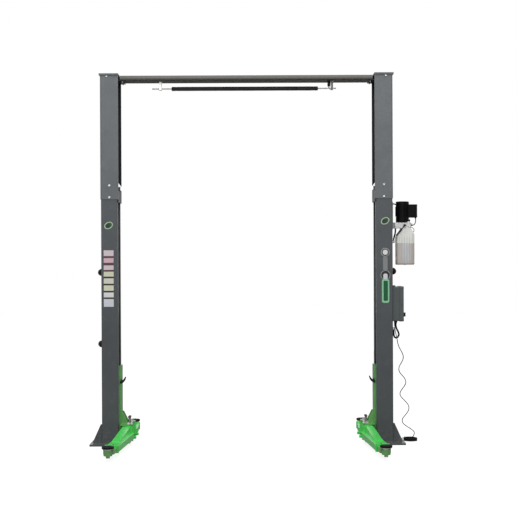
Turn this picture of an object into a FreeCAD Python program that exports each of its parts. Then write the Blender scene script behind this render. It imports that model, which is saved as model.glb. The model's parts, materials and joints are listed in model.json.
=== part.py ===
# Two post car lift with telescoping swing arms, on the floor, carriages lowered.
# Millimetres. X runs from the left column to the right one, Y from the camera side
# to the back, Z up. The origin is on the floor, midway between the columns.
import FreeCAD, Part
import math
import os
from FreeCAD import Vector

os.makedirs("parts", exist_ok=True)

# Base plates
plate_inner_x = 1270.0
plate_outer_x = 1575.0
plate_depth = 480.0
plate_thick = 18.0
plate_corner = 15.0
anchor_outer_x = 1535.0
anchor_inner_x = 1320.0
anchor_y = 205.0
anchor_hole_r = 9.5

# Columns, each a lipped channel that is open towards the middle
lip_face_x = 1293.0
column_depth = 167.0
column_width = 285.0
column_wall = 6.0
column_lip = 45.0
column_bend = 11.0
column_top_z = 2600.0
gusset_reach = 92.0
gusset_height = 188.0
gusset_thick = 10.0
gusset_nose = 14.0
gusset_y = 118.0

# Extensions that sleeve over the column tops
extension_wall = 5.0
extension_clearance = 0.5
extension_proud = 10.0
extension_overlap = 140.0
extension_length = 1245.0
splice_drop = 30.0
splice_height = 118.0
notch_foot = 93.0
notch_height = 45.0
notch_rise = 42.0
notch_depth = 32.0
cap_thick = 15.0
cap_overhang = 11.0

# Overhead beam, a shallow trough between the extensions
beam_end_x = 1268.0
beam_width = 240.0
beam_height = 45.0
beam_wall = 4.0
beam_drop = 5.0
seat_thick = 6.0
seat_inner_x = 1236.0
seat_outer_x = 1330.0

# Safety bar under the beam
bar_drop = 73.0
bar_r = 6.0
bar_left_x = -951.0
bar_right_x = 907.0
foam_r = 21.0
foam_left_x = -756.0
foam_right_x = 724.0
hanger_left_x = -882.0
hanger_right_x = 852.0
hanger_width = 34.0
hanger_thick = 4.0
hanger_foot = 30.0
bar_clearance = 0.4
bar_lift = 31.0
switch_width = 28.0
switch_depth = 30.0
switch_height = 48.0
switch_gap = 1.0
switch_bar_gap = 5.5
switch_arm_r = 4.0
switch_arm_length = 22.0

# Lock covers on the outer webs
cover_r = 35.0
cover_rim = 15.0
cover_reach = 50.0
cover_upper_z = 1728.0
cover_lower_z = 1005.0

# Carriages
carriage_face_x = 1272.0
carriage_back_x = 1400.0
carriage_width = 170.0
carriage_wall = 8.0
carriage_bottom_z = 60.0
carriage_top_z = 790.0
carriage_cap = 12.0
block_length = 180.0
block_depth = 42.0
block_end_gap = 22.0
block_chamfer = 7.0
slide_clearance = 0.5
fin_thick = 10.0
fin_reach = 62.0
fin_height = 112.0
fin_nose = 12.0
fin_y = 66.0

# Clevis plates, pins and arm restraints on each carriage
clevis_bottom_z = 42.0
clevis_bottom_thick = 15.0
clevis_top_z = 195.0
clevis_top_thick = 15.0
pin_x = 1195.0
pin_y = 130.0
pin_r = 20.0
pin_clearance = 0.1
pin_head_r = 27.0
pin_head = 8.0
pin_tail = 8.0
ear_r = 48.0
waist_x = 1166.0
waist_y = 62.0
clevis_web = 16.0
clevis_web_x = 1214.0
release_pin_r = 8.0
release_clearance = 0.25
release_foot_z = 1.0
release_top_z = 262.0
release_knob_r = 14.0
release_knob = 12.0
release_y = 34.0
restraint_width = 64.0
restraint_depth = 30.0
restraint_thick = 22.0
restraint_lift = 8.0

# Top guard and adapter hook on each carriage
guard_height = 125.0
guard_depth = 30.0
guard_width = 150.0
guard_wall = 6.0
guard_setback = 14.0
hook_z = 610.0
hook_height = 50.0
hook_width = 24.0
hook_thick = 11.0
hook_reach = 46.0
hook_rise = 24.0
hook_tab = 8.0

# Lift cylinders, rod fixed to the base plate and barrel carried by the carriage
rod_x = 1336.0
rod_r = 25.0
rod_top_z = 1870.0
rod_foot_r = 46.0
rod_foot = 14.0
piston_r = 35.7
piston_length = 60.0
barrel_r = 42.0
barrel_bore_r = 36.0
barrel_bottom_z = 90.0
barrel_gland = 40.0
barrel_top_z = 1900.0
barrel_end = 20.0
gland_clearance = 0.1

# Swing arms
arm_width = 120.0
arm_bottom_z = 62.0
arm_height = 61.0
arm_wall = 8.0
arm_start = 24.0
knuckle_r = 50.0
knuckle_gap = 1.0
front_arm_length = 912.0
rear_arm_length = 470.0
front_parked_angle = 4.0
rear_parked_angle = 2.0
stiffener_top_z = 190.0
stiffener_flat = 56.0
stiffener_share = 0.70
stiffener_width = 68.0
stiffener_cap = 8.0
stiffener_brim = 5.0
stiffener_offset = 10.0
tooth_root_r = 70.0
tooth_height = 8.0
tooth_pitch = 8.0
tooth_gap = 0.8
sector_start = -22.0
sector_end = 106.0
sector_z = 64.0
sector_thick = 20.0

# Inner arms and lifting pads
inner_clearance = 0.5
front_inner_start = 300.0
rear_inner_start = 100.0
front_pad_gap = 188.0
rear_pad_gap = 130.0
head_r = 40.0
head_bottom_z = 62.0
head_top_z = 110.0
head_neck = 20.0
screw_r = 20.0
screw_clearance = 0.1
screw_bottom_z = 40.0
collar_r = 28.0
collar_seat = 0.3
holder_r = 50.0
holder_bottom_z = 121.0
holder_thick = 6.0
holder_rim = 4.0
pad_r = 57.0
pad_thick = 23.0
pad_edge = 4.0
pad_dish_r = 34.0
pad_dish = 3.0

# Hydraulic power unit on the right column
unit_y = -50.0
bracket_bottom_z = 2150.0
bracket_height = 275.0
bracket_width = 150.0
bracket_thick = 6.0
motor_x = 1569.0
motor_r = 66.0
motor_bottom_z = 2217.0
motor_height = 213.0
motor_bell = 26.0
motor_band = 1.5
motor_edge = 8.0
box_depth = 132.0
box_width = 96.0
box_reach = 78.0
box_bottom_z = 2268.0
box_sink = 14.0
box_corner = 8.0
manifold_inner_x = 1482.0
manifold_outer_x = 1650.0
manifold_depth = 120.0
manifold_height = 57.0
manifold_corner = 10.0
filler_r = 16.0
filler_height = 15.0
filler_x = 1640.0
tank_inner_x = 1503.0
tank_outer_x = 1680.0
tank_depth = 176.0
tank_bottom_z = 1793.0
tank_corner = 26.0
tank_edge = 10.0
tank_shoulder = 34.0
tank_neck_inset = 22.0
rib_count = 5
rib_pitch = 26.0
rib_width = 7.0
rib_height = 2.5
lever_x = 1582.0
lever_r = 5.0
lever_length = 130.0
lever_angle = 50.0
lever_hub_r = 11.0
lever_hub = 48.0
lever_seat = 7.0
lever_gap = 0.3
lever_ball_r = 9.0

# Control box on the right column
panel_depth = 72.0
panel_width = 230.0
panel_bottom_z = 1227.0
panel_height = 345.0
panel_corner = 10.0
panel_cover = 40.0
panel_cover_edge = 6.0
panel_cover_brim = 4.0
switch_z = 1290.0
switch_y = -40.0
knob_r = 24.0
knob_base = 8.0
knob_grip = 17.0
knob_grip_width = 14.0
knob_gap = 0.3
beacon_r = 13.0
beacon_height = 14.0
beacon_x = 1482.0
gland_x = 1496.0
gland_y = -60.0
gland_r = 16.0
gland_height = 26.0
cord_gland_y = 20.0
cord_gland_r = 10.0

# Control cable, hydraulic hose and mains cord
cable_r = 9.0
hose_r = 8.0
hose_inset = 12.0
elbow_reach = 16.0
elbow_length = 16.0
elbow_wall = 2.5
hose_drop = 122.0
cable_elbow_z = 1150.0
cord_r = 4.0
relief_length = 30.0
relief_end_r = 6.0
coil_x = 1656.0
coil_y = 75.0
coil_mean_r = 60.0
coil_height = 32.0
coil_width = 29.0
plug_length = 62.0
plug_width = 40.0
plug_thick = 26.0
plug_prong_r = 2.4
plug_prong = 19.0
plug_prong_gap = 19.0
plug_seat = 0.3
plug_offset = 8.0
plug_round = 0.3

# Values worked out from the sizes above
web_x = lip_face_x + column_depth
half_column = column_width / 2
sleeve_x = web_x + extension_clearance + extension_wall
sleeve_y = half_column + extension_clearance + extension_wall
sleeve_edge_x = lip_face_x - extension_proud
extension_bottom_z = column_top_z - extension_overlap
extension_top_z = extension_bottom_z + extension_length
splice_bottom_z = extension_bottom_z - splice_drop
notch_bottom_z = extension_bottom_z + notch_foot
beam_top_z = extension_top_z - beam_drop
beam_bottom_z = beam_top_z - beam_height
bar_z = beam_bottom_z - bar_drop
half_carriage = carriage_width / 2
arm_top_z = arm_bottom_z + arm_height
manifold_bottom_z = motor_bottom_z - manifold_height
hose_elbow_z = manifold_bottom_z - hose_drop - elbow_length
clevis_bottom_top_z = clevis_bottom_z + clevis_bottom_thick
clevis_top_top_z = clevis_top_z + clevis_top_thick
holder_top_z = holder_bottom_z + holder_thick
panel_x = web_x + panel_depth
panel_cover_x = panel_x + panel_cover

up = Vector(0, 0, 1)
along_x = Vector(1, 0, 0)
along_y = Vector(0, 1, 0)
centre = Vector(0, 0, 0)


# Basic forms
def box(x0, x1, y0, y1, z0, z1):
    return Part.makeBox(x1 - x0, y1 - y0, z1 - z0, Vector(x0, y0, z0))


def rod(x, y, z0, z1, radius):
    return Part.makeCylinder(radius, z1 - z0, Vector(x, y, z0), up)


def prism(points, direction):
    corners = [Vector(*p) for p in points]
    wire = Part.makePolygon(corners + corners[:1])
    return Part.Face(wire).extrude(direction)


def edges_along(shape, axis):
    found = []
    for edge in shape.Edges:
        if isinstance(edge.Curve, Part.Line) and abs(edge.tangentAt(edge.FirstParameter).dot(axis)) > 0.999:
            found.append(edge)
    return found


def rounded_box(x0, x1, y0, y1, z0, z1, radius, axis=up):
    block = box(x0, x1, y0, y1, z0, z1)
    return block.makeFillet(radius, edges_along(block, axis))


def level_edges(shape, z):
    return [e for e in shape.Edges if abs(e.BoundBox.ZMin - z) < 1e-6 and abs(e.BoundBox.ZMax - z) < 1e-6]


def fuse(shapes):
    whole = shapes[0]
    for shape in shapes[1:]:
        whole = whole.fuse(shape)
    return whole.removeSplitter()


def mirrored(shape, axis):
    return shape.mirror(centre, axis)


def on_side(shape, side):
    return shape if side > 0 else mirrored(shape, along_x)


def save(name, shapes):
    for shape in shapes:
        if not shape.isValid() or shape.Volume <= 0:
            raise ValueError("bad shape in " + name)
    whole = shapes[0] if len(shapes) == 1 else Part.makeCompound(shapes)
    whole.exportStep("parts/" + name + ".step")


# Base plates
def base_plate():
    half = plate_depth / 2
    plate = rounded_box(plate_inner_x, plate_outer_x, -half, half, 0, plate_thick, plate_corner)
    places = [(anchor_outer_x, 0)]
    for y in (-anchor_y, anchor_y):
        places.append((anchor_outer_x, y))
        places.append((anchor_inner_x, y))
    for x, y in places:
        plate = plate.cut(rod(x, y, -1, plate_thick + 1, anchor_hole_r))
    return plate


# Columns with their gussets
def channel(face_x, back_x, half, wall, bend, z0, z1):
    outer = rounded_box(face_x, back_x, -half, half, z0, z1, bend)
    hollow = rounded_box(face_x + wall, back_x - wall, wall - half, half - wall, z0, z1, bend - wall)
    return outer.cut(hollow)


def gusset(y):
    foot = plate_thick
    head = foot + gusset_height
    tip = web_x + gusset_reach
    points = [(web_x, y, foot), (tip, y, foot), (tip, y, foot + gusset_nose),
              (web_x + gusset_nose, y, head), (web_x, y, head)]
    return prism(points, Vector(0, gusset_thick, 0))


def column():
    body = channel(lip_face_x, web_x, half_column, column_wall, column_bend, plate_thick, column_top_z)
    slot = half_column - column_lip
    body = body.cut(box(lip_face_x - 1, lip_face_x + column_wall + 1, -slot, slot, plate_thick, column_top_z))
    return fuse([body, gusset(-gusset_y), gusset(gusset_y - gusset_thick)])


# Extensions with splice plate, relief notch and beam seat
def extension():
    bend = column_bend + extension_clearance + extension_wall
    z0 = extension_bottom_z
    z1 = extension_top_z
    outer = rounded_box(sleeve_edge_x - 2 * bend, sleeve_x, -sleeve_y, sleeve_y, z0, z1, bend)
    inner_y = sleeve_y - extension_wall
    inner = rounded_box(sleeve_edge_x - 2 * bend, sleeve_x - extension_wall, -inner_y, inner_y,
                        z0, z1, bend - extension_wall)
    sleeve = outer.cut(inner).cut(box(0, sleeve_edge_x, -sleeve_y, sleeve_y, z0, z1))
    deep_x = sleeve_edge_x + notch_depth
    low = notch_bottom_z
    notch = prism([(sleeve_edge_x - 1, 0, low), (deep_x, 0, low + notch_rise),
                   (deep_x, 0, low + notch_rise + notch_height), (sleeve_edge_x - 1, 0, low + notch_height)],
                  Vector(0, sleeve_y + 1, 0))
    sleeve = sleeve.cut(notch)
    splice = box(sleeve_edge_x, lip_face_x, -inner_y, inner_y, splice_bottom_z, splice_bottom_z + splice_height)
    seat = box(seat_inner_x, seat_outer_x, -inner_y, inner_y, beam_bottom_z - seat_thick, beam_bottom_z)
    return fuse([sleeve, splice, seat])


def top_cap():
    half = sleeve_y + cap_overhang
    return rounded_box(sleeve_edge_x, sleeve_x + cap_overhang, -half, half,
                       extension_top_z, extension_top_z + cap_thick, cap_overhang)


# Overhead beam
def overhead_beam():
    half = beam_width / 2
    outer = box(-beam_end_x, beam_end_x, -half, half, beam_bottom_z, beam_top_z)
    corners = [e for e in edges_along(outer, along_x) if e.BoundBox.ZMax < beam_bottom_z + 1]
    outer = outer.makeFillet(2 * beam_wall, corners)
    trough = box(-beam_end_x, beam_end_x, beam_wall - half, half - beam_wall,
                 beam_bottom_z + beam_wall, beam_top_z)
    corners = [e for e in edges_along(trough, along_x) if e.BoundBox.ZMax < beam_bottom_z + beam_wall + 1]
    return outer.cut(trough.makeFillet(beam_wall, corners))


# Safety bar, its hangers and the switch that it trips
def bar_hanger(x, rise):
    half = hanger_width / 2
    hole_r = bar_r + bar_clearance
    strap = box(x, x + hanger_thick, -half, half, bar_z, beam_bottom_z)
    strap = strap.fuse(Part.makeCylinder(half, hanger_thick, Vector(x, 0, bar_z), along_x))
    foot = box(x, x + hanger_foot, -half, half, beam_bottom_z - hanger_thick, beam_bottom_z)
    strap = strap.fuse(foot).removeSplitter()
    hole = Part.makeCylinder(hole_r, hanger_thick + 2, Vector(x - 1, 0, bar_z), along_x)
    if rise > 0:
        hole = hole.fuse(box(x - 1, x + hanger_thick + 1, -hole_r, hole_r, bar_z, bar_z + rise))
        top = Part.makeCylinder(hole_r, hanger_thick + 2, Vector(x - 1, 0, bar_z + rise), along_x)
        hole = hole.fuse(top)
    return strap.cut(hole)


def safety_bar():
    return Part.makeCylinder(bar_r, bar_right_x - bar_left_x, Vector(bar_left_x, 0, bar_z), along_x)


def bar_foam():
    length = foam_right_x - foam_left_x
    sleeve = Part.makeCylinder(foam_r, length, Vector(foam_left_x, 0, bar_z), along_x)
    return sleeve.cut(Part.makeCylinder(bar_r, length, Vector(foam_left_x, 0, bar_z), along_x))


def limit_switch():
    x1 = hanger_right_x - switch_gap
    y0 = bar_r + switch_bar_gap
    body = rounded_box(x1 - switch_width, x1, y0, y0 + switch_depth,
                       beam_bottom_z - switch_height, beam_bottom_z, 3)
    mid_x = x1 - switch_width / 2
    low = beam_bottom_z - switch_height
    arm = rod(mid_x, y0 + switch_depth / 2, low - switch_arm_length, low, switch_arm_r)
    return body.fuse(arm)


# Lock covers, domed caps over the latches
def lock_cover(z):
    edge = Vector(web_x + cover_rim, 0, z + cover_r)
    tip = Vector(web_x + cover_reach, 0, z)
    bow = math.sqrt(0.5)
    middle = Vector(web_x + cover_rim + (cover_reach - cover_rim) * bow, 0, z + cover_r * bow)
    lines = [Part.makeLine(Vector(web_x, 0, z), Vector(web_x, 0, z + cover_r)),
             Part.makeLine(Vector(web_x, 0, z + cover_r), edge),
             Part.Arc(edge, middle, tip).toShape(),
             Part.makeLine(tip, Vector(web_x, 0, z))]
    return Part.Face(Part.Wire(lines)).revolve(Vector(web_x, 0, z), along_x, 360)


# Carriages
def clevis_plate(z, thick):
    front = Vector(pin_x, -pin_y - ear_r, z)
    nose = Vector(pin_x - ear_r, -pin_y, z)
    bow = ear_r * math.sqrt(0.5)
    middle = Vector(pin_x - bow, -pin_y - bow, z)
    back = Vector(carriage_face_x, -pin_y - ear_r, z)
    waist = Vector(waist_x, -waist_y, z)

    def twin(point):
        return Vector(point.x, -point.y, point.z)

    edges = [Part.makeLine(back, front), Part.Arc(front, middle, nose).toShape(), Part.makeLine(nose, waist),
             Part.makeLine(waist, twin(waist)), Part.makeLine(twin(waist), twin(nose)),
             Part.Arc(twin(nose), twin(middle), twin(front)).toShape(),
             Part.makeLine(twin(front), twin(back)), Part.makeLine(twin(back), back)]
    plate = Part.Face(Part.Wire(edges)).extrude(Vector(0, 0, thick))
    for side in (-1, 1):
        plate = plate.cut(rod(pin_x, side * pin_y, z - 1, z + thick + 1, pin_r + pin_clearance))
        release_r = release_pin_r + release_clearance
        plate = plate.cut(rod(pin_x, side * release_y, z - 1, z + thick + 1, release_r))
    return plate


def fin(y):
    foot = clevis_top_top_z
    head = foot + fin_height
    tip = carriage_face_x - fin_reach
    points = [(carriage_face_x, y, foot), (tip, y, foot), (tip, y, foot + fin_nose),
              (carriage_face_x - fin_nose, y, head), (carriage_face_x, y, head)]
    return prism(points, Vector(0, fin_thick, 0))


def carriage():
    inner = half_carriage - carriage_wall
    tube = rounded_box(carriage_face_x, carriage_back_x, -half_carriage, half_carriage,
                       carriage_bottom_z, carriage_top_z, carriage_wall)
    hollow = box(carriage_face_x + carriage_wall, carriage_back_x - carriage_wall, -inner, inner,
                 carriage_bottom_z, carriage_top_z - carriage_cap)
    tube = tube.cut(hollow)
    tube = tube.cut(rod(rod_x, 0, carriage_bottom_z, carriage_top_z + 1, barrel_r + gland_clearance))
    web = box(clevis_web_x, carriage_face_x, -clevis_web / 2, clevis_web / 2, clevis_bottom_top_z, clevis_top_z)
    return fuse([tube, clevis_plate(clevis_bottom_z, clevis_bottom_thick),
                 clevis_plate(clevis_top_z, clevis_top_thick), web,
                 fin(-fin_y - fin_thick / 2), fin(fin_y - fin_thick / 2)])


def slide_block(z0, side):
    x0 = lip_face_x + column_wall + slide_clearance
    y1 = half_column - column_wall - slide_clearance
    block = box(x0, x0 + block_depth, half_carriage, y1, z0, z0 + block_length)
    corner = [e for e in edges_along(block, up) if e.BoundBox.XMax < x0 + 1 and e.BoundBox.YMin > y1 - 1]
    block = block.makeChamfer(block_chamfer, corner)
    return block if side > 0 else mirrored(block, along_y)


def slide_blocks():
    low = carriage_bottom_z + block_end_gap
    high = carriage_top_z - block_end_gap - block_length
    return [slide_block(z0, side) for z0 in (low, high) for side in (-1, 1)]


def arm_pin(side):
    y = side * pin_y
    pin = rod(pin_x, y, clevis_bottom_z - pin_tail, clevis_top_top_z, pin_r)
    head = rod(pin_x, y, clevis_top_top_z, clevis_top_top_z + pin_head, pin_head_r)
    head = head.makeChamfer(pin_head / 4, level_edges(head, clevis_top_top_z + pin_head))
    return pin.fuse(head)


# Toothed outline about the origin, from one angle to another, in degrees
def toothed(first, last, grow, z, thick):
    root = tooth_root_r + grow
    tip = tooth_root_r + tooth_height + grow
    flank = tooth_pitch / 4 + math.degrees(grow / tip)
    crest = tooth_pitch / 8 + math.degrees(grow / tip)
    count = int((last - first) / tooth_pitch)
    points = [Vector(0, 0, z)]
    for index in range(count):
        mid = first + tooth_pitch * (index + 0.5)
        for radius, offset in ((root, -flank), (tip, -crest), (tip, crest), (root, flank)):
            angle = math.radians(mid + offset)
            points.append(Vector(radius * math.cos(angle), radius * math.sin(angle), z))
    wire = Part.makePolygon(points + points[:1])
    return Part.Face(wire).extrude(Vector(0, 0, thick))


def restraint(parked):
    z = sector_z + sector_thick + restraint_lift
    near = pin_y - tooth_root_r - tooth_height - tooth_gap
    block = box(pin_x - restraint_width / 2, pin_x + restraint_width / 2, near - restraint_depth, near + tooth_height,
                z, z + restraint_thick)
    spare = 4 * tooth_pitch
    hollow = toothed(sector_start - spare, sector_end + spare, tooth_gap, z - 1, restraint_thick + 2)
    hollow = mirrored(hollow.rotate(centre, up, -180), along_y)
    hollow.rotate(centre, up, 90 - parked)
    hollow.translate(Vector(pin_x, pin_y, 0))
    block = block.cut(hollow)
    stem = rod(pin_x, release_y, release_foot_z, release_top_z, release_pin_r)
    knob = rod(pin_x, release_y, release_top_z, release_top_z + release_knob, release_knob_r)
    knob = knob.makeFillet(release_knob / 3, level_edges(knob, release_top_z + release_knob))
    return fuse([block, stem, knob])


def carriage_guard():
    x0 = carriage_face_x + guard_setback
    half = guard_width / 2
    z0 = carriage_top_z
    z1 = carriage_top_z + guard_height
    outer = rounded_box(x0, x0 + guard_depth, -half, half, z0, z1, guard_wall)
    inner = box(x0 + guard_wall, x0 + guard_depth + 1, guard_wall - half, half - guard_wall, z0, z1 - guard_wall)
    keep_clear = rod(rod_x, 0, z0, z1, barrel_r + guard_wall)
    return outer.cut(inner).cut(keep_clear)


def adapter_hook():
    y1 = -half_carriage
    y0 = y1 - hook_thick
    x1 = lip_face_x - guard_wall
    block = box(x1 - hook_width, x1, y0, y1, hook_z, hook_z + hook_height)
    foot_x = x1 - hook_width
    top = hook_z + hook_height
    tab = prism([(foot_x, y0, top - hook_tab), (foot_x - hook_reach, y0, top + hook_rise - hook_tab),
                 (foot_x - hook_reach, y0, top + hook_rise), (foot_x, y0, top)], Vector(0, hook_thick, 0))
    return fuse([block, tab])


# Lift cylinders
def cylinder_rod():
    foot = rod(rod_x, 0, plate_thick, plate_thick + rod_foot, rod_foot_r)
    stem = rod(rod_x, 0, plate_thick, rod_top_z, rod_r)
    piston = rod(rod_x, 0, rod_top_z - piston_length, rod_top_z, piston_r)
    return fuse([foot, stem, piston])


def cylinder_barrel():
    barrel = rod(rod_x, 0, barrel_bottom_z, barrel_top_z, barrel_r)
    bore = rod(rod_x, 0, barrel_bottom_z + barrel_gland, barrel_top_z - barrel_end, barrel_bore_r)
    gland = rod(rod_x, 0, barrel_bottom_z - 1, barrel_bottom_z + barrel_gland + 1, rod_r + gland_clearance)
    return barrel.cut(bore).cut(gland)


# Swing arms, drawn with the pin at the origin and the arm along +X
def outer_arm(length):
    half = arm_width / 2
    tube = box(arm_start, length, -half, half, arm_bottom_z, arm_top_z)
    tube = tube.makeFillet(arm_wall / 2, edges_along(tube, along_x))
    hollow = box(knuckle_r + arm_wall, length + 1, arm_wall - half, half - arm_wall,
                 arm_bottom_z + arm_wall, arm_top_z - arm_wall)
    tube = tube.cut(hollow)
    knuckle = rod(0, 0, clevis_bottom_top_z + knuckle_gap, clevis_top_z - knuckle_gap, knuckle_r)
    end = length * stiffener_share
    slope_end_z = arm_top_z + stiffener_cap
    y0 = stiffener_offset - stiffener_width / 2
    roof = [(0, y0, arm_top_z), (end, y0, arm_top_z), (end, y0, slope_end_z),
            (stiffener_flat, y0, stiffener_top_z), (0, y0, stiffener_top_z)]
    wedge = prism(roof, Vector(0, stiffener_width, 0))
    y0 = y0 - stiffener_brim
    drop = stiffener_cap
    cover = [(stiffener_flat, y0, stiffener_top_z), (end, y0, slope_end_z), (end, y0, arm_top_z),
             (stiffener_flat, y0, stiffener_top_z - drop)]
    brim = prism(cover, Vector(0, stiffener_width + 2 * stiffener_brim, 0))
    sector = toothed(sector_start, sector_end, 0, sector_z, sector_thick)
    sector = sector.rotate(centre, up, -180)
    arm = fuse([tube, knuckle, wedge, brim, sector])
    bore = rod(0, 0, clevis_bottom_z, clevis_top_top_z, pin_r + pin_clearance)
    return arm.cut(bore)


def inner_arm(start, reach):
    half = arm_width / 2 - arm_wall - inner_clearance
    z0 = arm_bottom_z + arm_wall + inner_clearance
    z1 = arm_top_z - arm_wall - inner_clearance
    tube = box(start, reach - head_neck, -half, half, z0, z1)
    hollow = box(start - 1, reach - head_r - head_neck, arm_wall - half, half - arm_wall, z0 + arm_wall, z1 - arm_wall)
    tube = tube.cut(hollow)
    nose = [(reach - head_r - head_neck, -half - 1, z0 - 1), (reach + head_r, -head_r, z0 - 1),
            (reach + head_r, -half - 1, z0 - 1)]
    taper = prism(nose, Vector(0, 0, z1 - z0 + 2))
    tube = tube.cut(taper).cut(mirrored(taper, along_y))
    head = rod(reach, 0, head_bottom_z, head_top_z, head_r)
    bore = rod(reach, 0, head_bottom_z - 1, head_top_z + 20, screw_r + screw_clearance)
    clear = rod(reach, 0, head_top_z, z1 + 1, head_r)
    return fuse([tube.cut(clear), head]).cut(bore)


def pad_screw(reach):
    stem = rod(reach, 0, screw_bottom_z, holder_bottom_z, screw_r)
    stem = stem.makeChamfer(screw_r / 6, level_edges(stem, screw_bottom_z))
    collar = rod(reach, 0, head_top_z + collar_seat, holder_bottom_z, collar_r)
    holder = rod(reach, 0, holder_bottom_z, holder_top_z, holder_r)
    holder = holder.makeChamfer(holder_rim / 2, level_edges(holder, holder_bottom_z))
    return fuse([stem, collar, holder])


def pad_rubber(reach):
    top = holder_top_z + pad_thick
    pad = rod(reach, 0, holder_top_z, top, pad_r)
    pad = pad.makeChamfer(pad_edge, level_edges(pad, top))
    return pad.cut(rod(reach, 0, top - pad_dish, top, pad_dish_r))


def placed_arm(shape, side, end):
    parked = front_parked_angle if end < 0 else rear_parked_angle
    placed = shape.copy()
    if end > 0:
        placed = mirrored(placed, along_y)
    placed.rotate(centre, up, end * 90 - end * parked)
    placed.translate(Vector(pin_x, end * pin_y, 0))
    return on_side(placed, side)


# Power unit
def unit_bracket():
    half = bracket_width / 2
    plate = box(web_x, web_x + bracket_thick, unit_y - half, unit_y + half,
                bracket_bottom_z, bracket_bottom_z + bracket_height)
    arm_z = manifold_bottom_z
    arms = []
    for y in (unit_y - half, unit_y + half - bracket_thick):
        arms.append(box(web_x, manifold_inner_x, y, y + bracket_thick, arm_z, arm_z + manifold_height))
    face = box(manifold_inner_x - bracket_thick, manifold_inner_x, unit_y - half, unit_y + half,
               arm_z, arm_z + manifold_height)
    return fuse([plate] + arms + [face])


def motor():
    z0 = motor_bottom_z
    z1 = z0 + motor_height
    body = rod(motor_x, unit_y, z0, z1, motor_r)
    body = body.makeFillet(motor_edge, level_edges(body, z1))
    for z in (z0 + motor_bell, z1 - motor_bell - motor_edge):
        ring = rod(motor_x, unit_y, z, z + motor_edge / 2, motor_r + motor_band)
        body = body.fuse(ring)
    return body.cut(terminal_box())


def terminal_box():
    x0 = motor_x + motor_r - box_sink
    half = box_width / 2
    block = box(x0, x0 + box_sink + box_reach, unit_y - half, unit_y + half, box_bottom_z, box_bottom_z + box_depth)
    outer = [e for e in block.Edges if e.BoundBox.XMin > x0 + 1]
    return block.makeFillet(box_corner, outer)


def valve_manifold():
    half = manifold_depth / 2
    z0 = manifold_bottom_z
    body = rounded_box(manifold_inner_x, manifold_outer_x, unit_y - half, unit_y + half,
                       z0, motor_bottom_z, manifold_corner)
    filler = rod(filler_x - filler_r, unit_y - half + filler_r, motor_bottom_z, motor_bottom_z + filler_height, filler_r)
    filler = filler.makeFillet(3, level_edges(filler, motor_bottom_z + filler_height))
    far = filler.cut(rod(motor_x, unit_y, motor_bottom_z, motor_bottom_z + filler_height, motor_r + 2 * motor_band))
    return body.fuse(far)


def oil_tank():
    half = tank_depth / 2
    z0 = tank_bottom_z
    z1 = manifold_bottom_z
    body = box(tank_inner_x, tank_outer_x, unit_y - half, unit_y + half, z0, z1 - tank_shoulder)
    body = body.makeFillet(tank_corner, edges_along(body, up))
    body = body.makeFillet(tank_edge, level_edges(body, z0) + level_edges(body, z1 - tank_shoulder))
    inset = tank_neck_inset
    neck = rounded_box(tank_inner_x + inset, tank_outer_x - inset, unit_y - half + inset, unit_y + half - inset,
                       z1 - tank_shoulder - tank_edge, z1, tank_corner - tank_edge)
    ribs = []
    first = unit_y - rib_pitch * (rib_count - 1) / 2
    middle_x = (tank_inner_x + tank_outer_x) / 2
    low = z0 + tank_corner
    high = z1 - tank_shoulder - tank_corner
    for index in range(rib_count):
        y = first + index * rib_pitch
        ribs.append(box(middle_x, tank_outer_x + rib_height, y - rib_width / 2, y + rib_width / 2, low, high))
        x = middle_x + (index - (rib_count - 1) / 2) * rib_pitch
        front = unit_y - half - rib_height
        ribs.append(box(x - rib_width / 2, x + rib_width / 2, front, unit_y, low, high))
    return fuse([body, neck] + ribs)


def lowering_lever():
    face_y = unit_y - manifold_depth / 2 - lever_gap
    z = (manifold_bottom_z + motor_bottom_z) / 2
    hub = Part.makeCylinder(lever_hub_r, lever_hub, Vector(lever_x, face_y - lever_hub, z), along_y)
    mid_y = face_y - lever_hub + lever_seat
    slope = math.radians(lever_angle)
    direction = Vector(-math.cos(slope), 0, -math.sin(slope))
    start = Vector(lever_x, mid_y, z)
    stick = Part.makeCylinder(lever_r, lever_length, start, direction)
    ball = Part.makeSphere(lever_ball_r, start + direction * lever_length, direction)
    return fuse([hub, stick, ball])


# Control box
def control_box():
    half = panel_width / 2
    body = rounded_box(web_x, panel_x, -half, half, panel_bottom_z, panel_bottom_z + panel_height, panel_corner,
                       along_x)
    beacon = rod(beacon_x, unit_y, panel_bottom_z + panel_height, panel_bottom_z + panel_height + beacon_height,
                 beacon_r)
    return body.fuse(beacon)


def control_box_cover():
    half = panel_width / 2 + panel_cover_brim
    z0 = panel_bottom_z - panel_cover_brim
    z1 = panel_bottom_z + panel_height + panel_cover_brim
    body = rounded_box(panel_x, panel_cover_x, -half, half, z0, z1, panel_corner + panel_cover_brim, along_x)
    rim = [e for e in body.Edges if e.BoundBox.XMin > panel_cover_x - 1e-3]
    return body.makeFillet(panel_cover_edge, rim)


def main_switch():
    x = panel_cover_x + knob_gap
    base = Part.makeCylinder(knob_r, knob_base, Vector(x, switch_y, switch_z), along_x)
    half = knob_grip_width / 2
    x1 = x + knob_base
    grip = rounded_box(x1, x1 + knob_grip, switch_y - half, switch_y + half,
                       switch_z - knob_r + 3, switch_z + knob_r - 3, half - 1, along_x)
    return fuse([base, grip])


def cable_glands():
    glands = []
    for y, radius in ((gland_y, gland_r), (cord_gland_y, cord_gland_r)):
        nut = rod(gland_x, y, panel_bottom_z - gland_height / 2, panel_bottom_z, radius)
        dome = rod(gland_x, y, panel_bottom_z - gland_height, panel_bottom_z, radius * 0.8)
        glands.append(fuse([nut, dome]))
    return glands


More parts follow.
